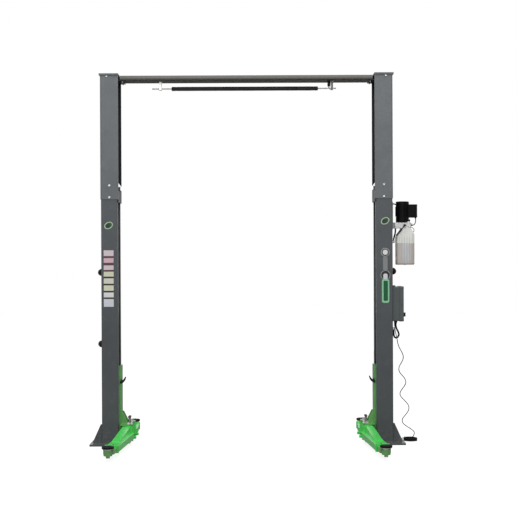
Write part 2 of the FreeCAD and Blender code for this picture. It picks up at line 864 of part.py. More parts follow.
# Cords as straight runs joined by tangent arcs
def tube_along(route, radius, label):
    points = [Vector(*p) for p in route]
    edges = []
    radii = []
    length = 0.0
    start = points[0]
    for before, corner, after in zip(points, points[1:], points[2:]):
        to_before = before - corner
        to_after = after - corner
        shorter = min(to_before.Length, to_after.Length)
        reach = 0.45 * shorter
        to_before.normalize()
        to_after.normalize()
        turn = math.pi - to_before.getAngle(to_after)
        bend = reach / math.tan(turn / 2)
        enter = corner + to_before * reach
        leave = corner + to_after * reach
        inward = to_before + to_after
        inward.normalize()
        middle = corner + inward * (bend / math.cos(turn / 2) - bend)
        edges.append(Part.makeLine(start, enter))
        edges.append(Part.Arc(enter, middle, leave).toShape())
        length += start.distanceToPoint(enter) + bend * turn
        radii.append(round(bend))
        start = leave
    edges.append(Part.makeLine(start, points[-1]))
    length += start.distanceToPoint(points[-1])
    path = Part.Wire(edges)
    direction = points[1] - points[0]
    circle = Part.Wire(Part.makeCircle(radius, points[0], direction))
    tube = path.makePipeShell([circle], True, True)
    print(label, "length", round(length), "radii", radii,
          "volume share", round(tube.Volume / (math.pi * radius ** 2 * length), 4))
    return tube


# Elbow on the outer web, its mouth facing up or down
def elbow(y, z, radius, facing):
    x = web_x + elbow_reach
    nut = Part.makeCylinder(radius + elbow_wall, elbow_reach, Vector(web_x, y, z), along_x)
    ball = Part.makeSphere(radius + elbow_wall, Vector(x, y, z))
    mouth = Part.makeCylinder(radius + elbow_wall, elbow_length, Vector(x, y, z), up * facing)
    return fuse([nut, ball, mouth])


def control_cable():
    top = panel_bottom_z - gland_height
    end_x = web_x + elbow_reach
    end_z = cable_elbow_z - elbow_length
    route = [(gland_x, gland_y, top), (gland_x, gland_y, top - 28), (gland_x + 11, gland_y + 2, top - 58),
             (gland_x + 27, gland_y + 5, top - 86), (gland_x + 34, gland_y + 7, top - 115),
             (gland_x + 22, gland_y + 8, top - 139), (end_x + 18, gland_y + 8, top - 147),
             (end_x + 3, gland_y + 8, top - 130), (end_x, gland_y + 8, top - 104), (end_x, gland_y + 8, end_z)]
    return tube_along(route, cable_r, "control cable")


def hydraulic_hose():
    x = manifold_inner_x + hose_inset
    y = unit_y - manifold_depth / 2 + 22
    top = manifold_bottom_z
    end_x = web_x + elbow_reach
    route = [(x, y, top), (x, y, top - 30), (x - 4, y + 3, top - 58), (x - 13, y + 5, top - 88),
             (end_x, y + 6, hose_elbow_z + elbow_length + 14), (end_x, y + 6, hose_elbow_z + elbow_length)]
    return tube_along(route, hose_r, "hydraulic hose")


def wall_elbows():
    hose_y = unit_y - manifold_depth / 2 + 28
    return [elbow(hose_y, hose_elbow_z, hose_r, 1), elbow(gland_y + 8, cable_elbow_z, cable_r, -1)]


cord_top_z = panel_bottom_z - gland_height - relief_length
cord_route = [
    (gland_x, cord_gland_y, cord_top_z), (gland_x, cord_gland_y, cord_top_z - 34),
    (1506.0, 17.0, 1092.0), (1517.0, 14.0, 1046.0), (1522.0, 7.0, 998.0), (1540.0, -4.0, 948.0),
    (1566.0, -20.0, 902.0), (1577.0, -42.0, 856.0), (1556.0, -54.0, 810.0), (1531.0, -42.0, 768.0),
    (1528.0, -20.0, 728.0), (1549.0, -2.0, 690.0), (1586.0, 0.0, 652.0), (1604.0, -20.0, 612.0),
    (1588.0, -46.0, 574.0), (1556.0, -50.0, 536.0), (1537.0, -28.0, 496.0), (1549.0, -2.0, 458.0),
    (1592.0, 6.0, 416.0), (1630.0, -12.0, 372.0), (1629.0, -44.0, 326.0), (1594.0, -56.0, 282.0),
    (1560.0, -38.0, 238.0), (1563.0, -8.0, 196.0), (1602.0, 16.0, 160.0), (1654.0, 22.0, 128.0),
    (1690.0, 40.0, 98.0), (1698.0, 78.0, 70.0), (coil_x + 34.0, coil_y + 46.0, coil_height + 2.0),
]


def mains_cord():
    return tube_along(cord_route, cord_r, "mains cord")


def cord_relief():
    x, y, z = cord_route[0]
    return Part.makeCone(relief_end_r, cord_gland_r * 0.8, relief_length, Vector(x, y, z), up)


def mains_coil():
    outer = coil_mean_r + coil_width / 2
    ring = rod(coil_x, coil_y, 0, coil_height, outer)
    ring = ring.cut(rod(coil_x, coil_y, 0, coil_height, outer - coil_width))
    return ring.makeFillet(coil_height * 0.3, level_edges(ring, 0) + level_edges(ring, coil_height))


def mains_plug():
    x1 = coil_x + plug_offset
    x0 = x1 - plug_length
    y0 = coil_y + coil_mean_r + coil_width / 2 + plug_seat
    body = box(x0, x1, y0, y0 + plug_width, 0, plug_thick)
    body = body.makeFillet(plug_thick * plug_round, body.Edges)
    parts = [body]
    for offset in (-plug_prong_gap / 2, plug_prong_gap / 2):
        start = Vector(x0 - plug_prong, y0 + plug_width / 2 + offset, plug_thick / 2)
        parts.append(Part.makeCylinder(plug_prong_r, plug_prong + 2, start, along_x))
    return fuse(parts)


# Write every piece
save("base_plates", [base_plate(), on_side(base_plate(), -1)])
save("top_caps", [top_cap(), on_side(top_cap(), -1)])
save("overhead_beam", [overhead_beam()])
save("bar_hangers", [bar_hanger(hanger_left_x, 0), bar_hanger(hanger_right_x, bar_lift)])
save("safety_bar", [safety_bar()])
save("bar_foam", [bar_foam()])
save("limit_switch", [limit_switch()])
save("lock_covers", [on_side(lock_cover(cover_upper_z), -1), on_side(lock_cover(cover_lower_z), -1),
                     lock_cover(cover_upper_z)])
save("cylinder_rods", [cylinder_rod(), on_side(cylinder_rod(), -1)])
save("power_unit_bracket", [unit_bracket()])
save("power_unit_motor", [motor()])
save("motor_terminal_box", [terminal_box()])
save("valve_manifold", [valve_manifold()])
save("oil_tank", [oil_tank()])
save("lowering_lever", [lowering_lever()])
save("control_box", [control_box()])
save("control_box_cover", [control_box_cover()])
save("main_switch", [main_switch()])
save("cable_glands", cable_glands() + [cord_relief()])
save("wall_elbows", wall_elbows())
save("control_cable", [control_cable()])
save("hydraulic_hose", [hydraulic_hose()])
save("mains_cord", [mains_cord()])
save("mains_coil", [mains_coil()])
save("mains_plug", [mains_plug()])

for side, side_name in ((-1, "left"), (1, "right")):
    save(side_name + "_column", [on_side(column(), side)])
    save(side_name + "_extension", [on_side(extension(), side)])
    save(side_name + "_carriage", [on_side(carriage(), side)])
    save(side_name + "_slide_blocks", [on_side(block, side) for block in slide_blocks()])
    save(side_name + "_cylinder_barrel", [on_side(cylinder_barrel(), side)])
    save(side_name + "_carriage_guard", [on_side(carriage_guard(), side)])
    save(side_name + "_adapter_hook", [on_side(adapter_hook(), side)])
    save(side_name + "_arm_pins", [on_side(arm_pin(end), side) for end in (-1, 1)])
    front_restraint = mirrored(restraint(front_parked_angle), along_y)
    save(side_name + "_arm_restraints", [on_side(front_restraint, side),
                                         on_side(restraint(rear_parked_angle), side)])
    for end, end_name in ((-1, "front"), (1, "rear")):
        arm_length = front_arm_length if end < 0 else rear_arm_length
        start = front_inner_start if end < 0 else rear_inner_start
        reach = arm_length + (front_pad_gap if end < 0 else rear_pad_gap)
        name = end_name + "_" + side_name
        save(name + "_outer_arm", [placed_arm(outer_arm(arm_length), side, end)])
        save(name + "_inner_arm", [placed_arm(inner_arm(start, reach), side, end)])
        save(name + "_pad_screw", [placed_arm(pad_screw(reach), side, end)])
        save(name + "_pad_rubber", [placed_arm(pad_rubber(reach), side, end)])
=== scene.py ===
# Looks of the two post car lift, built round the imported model. Metres, same frame as the model.
import bpy
import bmesh
import json
import math
from mathutils import Matrix, Vector


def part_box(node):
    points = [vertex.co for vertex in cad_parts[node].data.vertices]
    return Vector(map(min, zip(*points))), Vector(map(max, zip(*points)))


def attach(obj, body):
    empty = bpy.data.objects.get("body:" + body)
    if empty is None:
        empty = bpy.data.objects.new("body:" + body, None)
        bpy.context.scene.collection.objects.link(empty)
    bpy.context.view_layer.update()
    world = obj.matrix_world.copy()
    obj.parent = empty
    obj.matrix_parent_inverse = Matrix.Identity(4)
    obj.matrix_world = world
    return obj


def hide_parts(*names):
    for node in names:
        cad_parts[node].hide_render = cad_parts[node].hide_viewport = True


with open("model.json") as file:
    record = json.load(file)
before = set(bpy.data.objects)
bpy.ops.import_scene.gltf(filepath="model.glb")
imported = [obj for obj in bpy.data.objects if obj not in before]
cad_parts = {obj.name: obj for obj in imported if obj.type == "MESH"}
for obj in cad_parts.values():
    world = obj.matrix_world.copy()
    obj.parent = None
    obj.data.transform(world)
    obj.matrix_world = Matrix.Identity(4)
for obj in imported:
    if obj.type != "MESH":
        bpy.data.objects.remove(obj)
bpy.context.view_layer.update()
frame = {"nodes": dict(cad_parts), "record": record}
nodes = frame["nodes"]
scene = bpy.context.scene
scene.view_settings.view_transform = "Standard"

# Places that several pieces share; the pins lie alike on both sides, tank, motor and box on the right only
SIDES = (("left", -1), ("right", 1))
CORNERS = ((1, 1), (-1, 1), (-1, -1), (1, -1))  # of an oblong, in turn
PIN_X, PIN_Y = 1.195, 0.130  # arm pins
RELEASE_Y = 0.034  # release pins of the arm restraints
PLATE_TOP = 0.019  # weld line on the base plates
BAR_Z = 3.582  # middle of the safety bar
TANK_X = 1.5915  # middle of the oil tank
FLUTE_PITCH = 0.026  # flutes of the oil tank
UNIT_Y = -0.050  # middle of the power unit
MOTOR_X = 1.569  # middle of the motor
BOX_FACE_X = 1.5718  # outer face of the control box's cover
BOX_SEAM_X = 1.5322  # where the cover meets the box

# Camera, about 12.5 m in front of the columns, nearly level
CAMERA_PLACE = (0.08, -12.54, 1.835)
CAMERA_YAW, CAMERA_PITCH, CAMERA_ROLL = -0.185, 89.939, -0.2496
camera = bpy.data.objects.new("camera", bpy.data.cameras.new("camera"))
scene.collection.objects.link(camera)
scene.camera = camera
camera.data.sensor_fit = "VERTICAL"
camera.data.sensor_height = 36.0
camera.data.lens = 84.914
camera.data.clip_end = 100.0
camera.matrix_world = (Matrix.Translation(CAMERA_PLACE) @ Matrix.Rotation(math.radians(CAMERA_YAW), 4, "Z")
                       @ Matrix.Rotation(math.radians(CAMERA_PITCH), 4, "X")
                       @ Matrix.Rotation(math.radians(CAMERA_ROLL), 4, "Z"))


# Materials
def linear(r, g, b):
    """A shader colour from screen values of 0 to 255."""
    def channel(v):
        v /= 255.0
        return v / 12.92 if v <= 0.04045 else ((v + 0.055) / 1.055) ** 2.4
    return (channel(r), channel(g), channel(b), 1.0)


def lighter(colour, lift):
    return linear(*[min(255, c + lift) for c in colour])


class Paint:
    """One node material: a Principled surface whose colour, roughness and bump come from noise."""

    def __init__(self, name, colour, metallic=0.0, specular=0.5, coat=0.0, coat_roughness=0.1):
        self.material = bpy.data.materials.new(name)
        self.material.use_nodes = True
        self.tree = self.material.node_tree
        self.shader = self.tree.nodes["Principled BSDF"]
        self.preset(self.shader, {"Metallic": metallic, "Specular IOR Level": specular, "Coat Weight": coat,
                                  "Coat Roughness": coat_roughness, "Base Color": colour})
        self.base = colour
        self.colour = None
        self.normal = None
        self.place = self.node("ShaderNodeTexCoord").outputs["Object"]

    def preset(self, node, inputs):
        for key, value in inputs.items():
            node.inputs[key].default_value = value

    def node(self, kind, inputs=None, **values):
        made = self.tree.nodes.new(kind)
        for key, value in values.items():
            setattr(made, key, value)
        self.preset(made, inputs or {})
        return made

    def wire(self, a, b):
        self.tree.links.new(a, b)

    def noise(self, scale, detail=4.0, rough=0.55, stretch=None):
        source = self.place
        if stretch:
            mapping = self.node("ShaderNodeMapping", {"Scale": stretch})
            self.wire(source, mapping.inputs["Vector"])
            source = mapping.outputs["Vector"]
        made = self.node("ShaderNodeTexNoise", {"Scale": scale, "Detail": detail, "Roughness": rough})
        self.wire(source, made.inputs["Vector"])
        return made.outputs["Fac"]

    def ramp(self, source, low, high, out_low=0.0, out_high=1.0):
        made = self.node("ShaderNodeMapRange", {"From Min": low, "From Max": high, "To Min": out_low,
                                                "To Max": out_high})
        self.wire(source, made.inputs["Value"])
        return made.outputs["Result"]

    def calculate(self, operation, a, b=0.0):
        made = self.node("ShaderNodeMath", operation=operation)
        for socket, value in zip(made.inputs, (a, b)):
            if isinstance(value, (int, float)):
                socket.default_value = value
            else:
                self.wire(value, socket)
        return made.outputs["Value"]

    def times(self, a, b):
        return self.calculate("MULTIPLY", a, b)

    def axis(self, name):
        split = self.node("ShaderNodeSeparateXYZ")
        self.wire(self.place, split.inputs["Vector"])
        return split.outputs[name]

    def along(self, axis, start, end):
        """0 before start, 1 past end, in whichever direction the end lies."""
        return self.ramp(self.axis(axis), start, end)

    def within(self, half_width, reach, bottom=0.02):
        """1 nearer the middle than half_width in Y and reach in X, above the bottom, else 0."""
        inside = self.calculate("GREATER_THAN", self.axis("Z"), bottom)
        for name, limit in (("Y", half_width), ("X", reach)):
            off = self.calculate("ABSOLUTE", self.axis(name))
            inside = self.times(inside, self.calculate("LESS_THAN", off, limit))
        return inside

    def tint(self, factor, colour):
        """Mixes a colour over what is there, by a factor from 0 to 1."""
        made = self.node("ShaderNodeMix", data_type="RGBA")
        self.wire(factor, made.inputs["Factor"])
        if self.colour is None:
            made.inputs["A"].default_value = self.base
        else:
            self.wire(self.colour, made.inputs["A"])
        made.inputs["B"].default_value = colour
        self.colour = made.outputs["Result"]
        self.wire(self.colour, self.shader.inputs["Base Color"])

    def roughness(self, source, low, high):
        self.wire(self.ramp(source, 0.3, 0.7, low, high), self.shader.inputs["Roughness"])

    def bump(self, source, distance, strength=1.0):
        made = self.node("ShaderNodeBump", {"Distance": distance, "Strength": strength})
        self.wire(source, made.inputs["Height"])
        if self.normal is not None:
            self.wire(self.normal, made.inputs["Normal"])
        self.normal = made.outputs["Normal"]
        self.wire(self.normal, self.shader.inputs["Normal"])

    def edges(self, radius):
        """Near 1 where the surface turns a sharp corner."""
        bevel = self.node("ShaderNodeBevel", {"Radius": radius}, samples=4)
        flat = self.node("ShaderNodeNewGeometry")
        dot = self.node("ShaderNodeVectorMath", operation="DOT_PRODUCT")
        self.wire(bevel.outputs["Normal"], dot.inputs[0])
        self.wire(flat.outputs["Normal"], dot.inputs[1])
        return self.ramp(dot.outputs["Value"], 0.995, 0.86)


DUST = linear(158, 154, 146)
BARE_CORNER = linear(150, 150, 148)
DULL_SPECK = linear(118, 112, 104)


def powder_coat(name, colour, low, high, dust=0.25, gloss=(0.42, 0.56), chips=0.5, specular=0.3, coat=0.0,
                inside=None, shade=None):
    """Baked paint on steel: orange peel, cloudy shade, dust towards the floor, chipped corners.

    inside gives the half width and reach of a channel, and a colour painted over its inner faces, as painted light
    where it is lighter than the paint and as painted shade where it is darker; shade gives the heights between
    which the paint turns to another colour as painted shade, and that colour."""
    paint = Paint(name, linear(*colour), specular=specular, coat=coat, coat_roughness=0.16)
    paint.tint(paint.ramp(paint.noise(2.3, 5.0), 0.35, 0.70), linear(*low))
    paint.tint(paint.ramp(paint.noise(11.0, 3.0, 0.6), 0.52, 0.80, 0.0, 0.6), linear(*high))
    scuff = paint.ramp(paint.noise(60.0, 6.0, 0.7, (1.0, 1.0, 0.12)), 0.66, 0.74, 0.0, 0.35)
    paint.tint(scuff, lighter(colour, 26))
    near_floor = paint.times(paint.along("Z", 0.22, 0.0), paint.ramp(paint.noise(34.0, 6.0, 0.65), 0.42, 0.68))
    paint.tint(paint.times(near_floor, dust), DUST)
    worn = paint.times(paint.edges(0.0016), paint.ramp(paint.noise(95.0, 5.0, 0.7), 0.55, 0.68))
    paint.tint(paint.times(worn, chips), BARE_CORNER)
    # Painted light or shade: a channel's inner faces get a flat colour in place of the light that reaches into them
    if inside:
        half_width, reach, inner_shading_colour = inside
        paint.tint(paint.within(half_width, reach), linear(*inner_shading_colour))
    # Painted shade: past the given heights the paint turns to the shade colour
    if shade:
        heights, shade_colour = shade
        paint.tint(paint.along("Z", *heights), linear(*shade_colour))
    paint.roughness(paint.noise(18.0, 5.0), *gloss)
    paint.bump(paint.noise(420.0, 2.0, 0.5), 0.00018, 0.55)
    paint.bump(paint.noise(9.0, 2.0), 0.0012, 0.25)
    return paint.material


def bare_steel(name, colour, gloss=(0.26, 0.46), grain=(1.0, 1.0, 1.0), specks=0.5):
    """Plated or turned steel: fine grain, cloudy plating, a few dull specks."""
    metal = Paint(name, linear(*colour), metallic=1.0)
    metal.tint(metal.ramp(metal.noise(55.0, 5.0, 0.6), 0.38, 0.70), linear(*[c * 0.80 for c in colour]))
    metal.tint(metal.ramp(metal.noise(240.0, 3.0, 0.6), 0.62, 0.74, 0.0, specks), DULL_SPECK)
    metal.roughness(metal.noise(130.0, 5.0, 0.6, grain), *gloss)
    metal.bump(metal.noise(650.0, 3.0, 0.6, grain), 0.00012, 0.5)
    return metal.material


def moulded(name, colour, gloss=(0.42, 0.58), grain=520.0, lift=18, specular=0.15):
    """Moulded plastic or rubber: fine leather-like grain, faint clouding, pale scuffs on corners."""
    skin = Paint(name, linear(*colour), specular=specular)
    skin.tint(skin.ramp(skin.noise(7.0, 5.0), 0.35, 0.72, 0.0, 0.8), lighter(colour, lift))
    scuffs = skin.times(skin.edges(0.0012), skin.ramp(skin.noise(80.0, 5.0, 0.7), 0.48, 0.66))
    skin.tint(skin.times(scuffs, 0.5), lighter(colour, 3 * lift))
    skin.roughness(skin.noise(26.0, 5.0), *gloss)
    skin.bump(skin.noise(grain, 3.0, 0.6), 0.00022, 0.6)
    return skin.material


def foam_material():
    foam = Paint("black_foam", linear(56, 56, 57), specular=0.25)
    foam.tint(foam.ramp(foam.noise(14.0, 4.0), 0.40, 0.66), linear(44, 44, 45))
    foam.tint(foam.ramp(foam.noise(900.0, 2.0, 0.7), 0.50, 0.66, 0.0, 0.6), linear(74, 74, 75))
    foam.roughness(foam.noise(30.0, 4.0), 0.82, 0.96)
    foam.bump(foam.noise(1100.0, 3.0, 0.75), 0.0006, 0.7)
    foam.bump(foam.noise(28.0, 2.0), 0.0015, 0.4)
    return foam.material


def tank_material():
    """Milky plastic tank: pale above the oil inside it, grey below, brownish to the sides and at the bottom."""
    oil_level, edge, sway = 2.009, 0.0015, 0.002
    tank = Paint("tank_plastic", linear(244, 245, 239), specular=0.5)
    tank.tint(tank.ramp(tank.noise(9.0, 4.0), 0.35, 0.70), linear(238, 238, 231))
    wavy = tank.ramp(tank.noise(7.0, 2.0), 0.3, 0.7, -sway, sway)
    height = tank.calculate("ADD", tank.axis("Z"), wavy)
    below = tank.ramp(height, oil_level + edge, oil_level - edge)
    tank.tint(below, linear(212, 214, 216))
    deep = tank.times(below, tank.along("Z", oil_level, 1.80))
    tank.tint(tank.times(deep, 0.55), linear(203, 203, 204))
    # Painted shade in the flutes' grooves: a darker stripe between the ribs, below the flutes' top
    turns = tank.times(tank.axis("X"), math.tau / FLUTE_PITCH)
    waves = tank.calculate("SUBTRACT", turns, math.tau * TANK_X / FLUTE_PITCH + math.pi)
    groove = tank.ramp(tank.calculate("COSINE", waves), -0.4, 1.0, 0.0, 0.30)
    tank.tint(tank.times(groove, tank.along("Z", 2.10, 2.05)), linear(150, 148, 148))
    aside = tank.calculate("ABSOLUTE", tank.calculate("SUBTRACT", tank.axis("X"), TANK_X))
    tank.tint(tank.times(tank.times(below, tank.ramp(aside, 0.022, 0.062)), 0.75), linear(196, 184, 174))
    tank.tint(tank.times(tank.along("Z", 1.818, 1.796), 0.75), linear(168, 142, 122))
    tank.roughness(tank.noise(16.0, 4.0), 0.30, 0.42)
    tank.shader.inputs["Subsurface Weight"].default_value = 0.25
    tank.shader.inputs["Subsurface Radius"].default_value = (0.02, 0.018, 0.015)
    tank.bump(tank.noise(260.0, 3.0), 0.0002, 0.5)
    tank.bump(tank.noise(12.0, 2.0), 0.002, 0.35)
    return tank.material


# The columns' inner faces are painted lighter than the paint, as painted light
GRAPHITE = powder_coat("graphite_paint", (84, 88, 91), (76, 80, 83), (93, 96, 98), coat=0.2,
                       inside=(0.1369, 1.4545, (112, 115, 117)))
# The beam is painted dark brown below 3.671 m, its trough included, as painted shade
BEAM_PAINT = powder_coat("beam_paint", (120, 119, 117), (113, 112, 110), (126, 125, 123),
                         shade=((3.677, 3.671), (76, 74, 68)))
# The extensions' inner faces are painted nearly black, as painted shade
GRAPHITE_PALE = powder_coat("graphite_paint_pale", (114, 118, 121), (106, 110, 113), (121, 125, 127),
                            inside=(0.1431, 1.4606, (30, 32, 34)))
GREEN = powder_coat("green_paint", (78, 243, 98), (70, 229, 88), (92, 250, 112), dust=0.3,
                    gloss=(0.32, 0.46), coat=0.45)
# A darker, duller copy of the green paint, as painted shade on the carriages and inner arms
GREEN_SHADED = powder_coat("green_paint_shaded", (104, 176, 94), (94, 162, 84), (116, 188, 106), dust=0.3,
                         gloss=(0.32, 0.46), coat=0.6)
BOX_PAINT = powder_coat("box_paint", (92, 98, 98), (85, 91, 91), (100, 106, 106), gloss=(0.38, 0.50))
BRACKET = powder_coat("bracket_paint", (150, 153, 153), (138, 141, 141), (160, 163, 163), gloss=(0.36, 0.50))
BLACK_PAINT = powder_coat("black_paint", (24, 24, 26), (18, 18, 20), (31, 31, 33), chips=0.2, specular=0.12)
ZINC = bare_steel("zinc_steel", (203, 203, 198))
CHROME = bare_steel("rod_chrome", (208, 210, 212), gloss=(0.10, 0.20), grain=(1.0, 1.0, 0.1), specks=0.15)
ALUMINIUM = bare_steel("cast_aluminium", (196, 197, 197), gloss=(0.40, 0.58), specks=0.35)
DARK_STEEL = bare_steel("dark_steel", (92, 93, 94), gloss=(0.34, 0.52), specks=0.6)
BLACK_PLASTIC = moulded("black_plastic", (24, 24, 26))
MOTOR_BLACK = moulded("motor_black", (8, 8, 9), gloss=(0.20, 0.32), lift=5, specular=0.07)
RUBBER = moulded("black_rubber", (20, 20, 21), gloss=(0.58, 0.80), grain=380.0, lift=14)
SLIDE = moulded("slide_plastic", (206, 200, 184), gloss=(0.35, 0.50), lift=10)
RED_PLASTIC = moulded("red_plastic", (82, 26, 30), gloss=(0.34, 0.48), lift=14)
FOAM = foam_material()
TANK = tank_material()

SLOTS = {"graphite_paint": GRAPHITE, "green_paint": GREEN, "box_paint": BOX_PAINT, "bracket_paint": BRACKET,
         "black_paint": BLACK_PAINT, "zinc_steel": ZINC, "rod_chrome": CHROME, "cast_aluminium": ALUMINIUM,
         "black_plastic": BLACK_PLASTIC, "black_rubber": RUBBER, "slide_plastic": SLIDE,
         "black_foam": FOAM, "tank_plastic": TANK}
# Nodes whose paint differs from the rest of their slot; for the carriages and inner arms this is a darker, duller
# copy of the green, which is painted shade
OWN_PAINT = {"left_extension": GRAPHITE_PALE, "right_extension": GRAPHITE_PALE, "top_caps": GRAPHITE_PALE,
             "left_carriage": GREEN_SHADED, "right_carriage": GREEN_SHADED,
             "front_left_inner_arm": GREEN_SHADED, "front_right_inner_arm": GREEN_SHADED,
             "rear_left_inner_arm": GREEN_SHADED, "rear_right_inner_arm": GREEN_SHADED,
             "overhead_beam": BEAM_PAINT, "power_unit_motor": MOTOR_BLACK, "motor_terminal_box": MOTOR_BLACK}
for part in frame["record"]["subparts"]:
    for holder in nodes[part["node"]].material_slots:
        holder.link = "OBJECT"
        holder.material = SLOTS[part["material_slot"]]
for name, material in OWN_PAINT.items():
    nodes[name].material_slots[0].material = material


# Cords: the free mains cord with its coil, the cable and the hose that the lift holds
def cord_piece(name, points, radius, replaced):
    curve = bpy.data.curves.new(name, "CURVE")
    curve.dimensions = "3D"
    curve.bevel_depth = radius
    curve.bevel_resolution = 4
    curve.resolution_u = 8
    curve.use_fill_caps = True
    spline = curve.splines.new("NURBS")
    spline.points.add(len(points) - 1)
    for point, place in zip(spline.points, points):
        point.co = (*place, 1.0)
    spline.order_u = 3
    spline.use_endpoint_u = True
    curve.materials.append(RUBBER)
    made = bpy.data.objects.new(name, curve)
    scene.collection.objects.link(made)
    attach(made, "frame")
    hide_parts(*replaced)
    return made


# From the gland under the control box down to the coil
cord_route = [
    (1.496, 0.020, 1.171), (1.496, 0.020, 1.137), (1.506, 0.017, 1.092), (1.517, 0.014, 1.046),
    (1.522, 0.007, 0.998), (1.540, -0.004, 0.948), (1.566, -0.020, 0.902), (1.577, -0.042, 0.856),
    (1.556, -0.054, 0.810), (1.531, -0.042, 0.768), (1.528, -0.020, 0.728), (1.549, -0.002, 0.690),
    (1.586, 0.000, 0.652), (1.604, -0.020, 0.612), (1.588, -0.046, 0.574), (1.556, -0.050, 0.536),
    (1.537, -0.028, 0.496), (1.549, -0.002, 0.458), (1.592, 0.006, 0.416), (1.630, -0.012, 0.372),
    (1.629, -0.044, 0.326), (1.594, -0.056, 0.282), (1.560, -0.038, 0.238), (1.563, -0.008, 0.196),
    (1.602, 0.016, 0.160), (1.654, 0.022, 0.128), (1.690, 0.040, 0.098), (1.698, 0.078, 0.070),
    (1.690, 0.121, 0.034),
]
COIL_X, COIL_Y = 1.656, 0.075
# Each turn of the coil: its radius and height, wound from the top layer down
COIL_TURNS = [(0.0600, 0.0275), (0.0685, 0.0280), (0.0520, 0.0270), (0.0605, 0.0200), (0.0690, 0.0205),
              (0.0515, 0.0195), (0.0595, 0.0120), (0.0688, 0.0124), (0.0522, 0.0118), (0.0602, 0.0044),
              (0.0520, 0.0043), (0.0684, 0.0044)]
TURN_STEPS = 16
STEADY_SHARE = 0.75  # of each turn, before it passes over to the next
FIRST_STEP = 0.35  # radians from where the cord comes down to the first point of the coil
start_angle = math.atan2(cord_route[-1][1] - COIL_Y, cord_route[-1][0] - COIL_X) + FIRST_STEP
for number, (turn_radius, turn_height) in enumerate(COIL_TURNS):
    next_radius, next_height = COIL_TURNS[min(number + 1, len(COIL_TURNS) - 1)]
    for step in range(TURN_STEPS):
        share = step / TURN_STEPS
        blend = max(0.0, (share - STEADY_SHARE) / (1.0 - STEADY_SHARE))
        radius = turn_radius + (next_radius - turn_radius) * blend
        angle = start_angle + math.tau * share
        cord_route.append((COIL_X + radius * math.cos(angle), COIL_Y + radius * math.sin(angle),
                           turn_height + (next_height - turn_height) * blend))
# Out of the coil to the plug
cord_route += [(1.7080, 0.1190, 0.0046), (1.7000, 0.1450, 0.0060), (1.6840, 0.1640, 0.0100),
               (1.6640, 0.1698, 0.0130)]
mains_cord = cord_piece("mains_cord_detail", cord_route, 0.004, ["mains_cord", "mains_coil"])
cord_piece("control_cable_detail", [
    (1.496, -0.060, 1.201), (1.496, -0.060, 1.173), (1.507, -0.058, 1.143), (1.523, -0.055, 1.115),
    (1.530, -0.053, 1.086), (1.518, -0.052, 1.062), (1.494, -0.052, 1.054), (1.479, -0.052, 1.071),
    (1.476, -0.052, 1.097), (1.476, -0.052, 1.134)], 0.009, ["control_cable"])
cord_piece("hydraulic_hose_detail", [
    (1.494, -0.088, 2.160), (1.494, -0.088, 2.130), (1.490, -0.085, 2.102), (1.481, -0.083, 2.072),
    (1.476, -0.082, 2.052), (1.476, -0.082, 2.038)], 0.008, ["hydraulic_hose"])


# Forms that the hardware and soft parts are built from
def circle(x, y, z, radius, steps):
    """Points of a level circle."""
    return [(x + radius * math.cos(math.tau * k / steps), y + radius * math.sin(math.tau * k / steps), z)
            for k in range(steps)]


def facing(place, direction, turn=0.0):
    """A frame at a place whose Z axis points along a direction, turned about it by some degrees."""
    z = Vector(direction).normalized()
    x = Vector((0.0, 0.0, 1.0)).cross(z)
    x = x.normalized() if x.length > 1e-4 else Vector((1.0, 0.0, 0.0))
    y = z.cross(x)
    turned = Matrix((x, y, z)).transposed().to_4x4()
    return Matrix.Translation(place) @ turned @ Matrix.Rotation(math.radians(turn), 4, "Z")


def bowed(points, steps=10):
    """Places on a smooth curve through points."""
    points = [Vector(p) for p in points]
    ends = [points[0] * 2 - points[1]] + points + [points[-1] * 2 - points[-2]]
    made = []
    for a, b, c, d in zip(ends, ends[1:], ends[2:], ends[3:]):
        for i in range(steps):
            t = i / steps
            made.append(0.5 * ((2 * b) + (c - a) * t + (2 * a - 5 * b + 4 * c - d) * t * t
                               + (3 * b - a - 3 * c + d) * t ** 3))
    return made + [points[-1]]


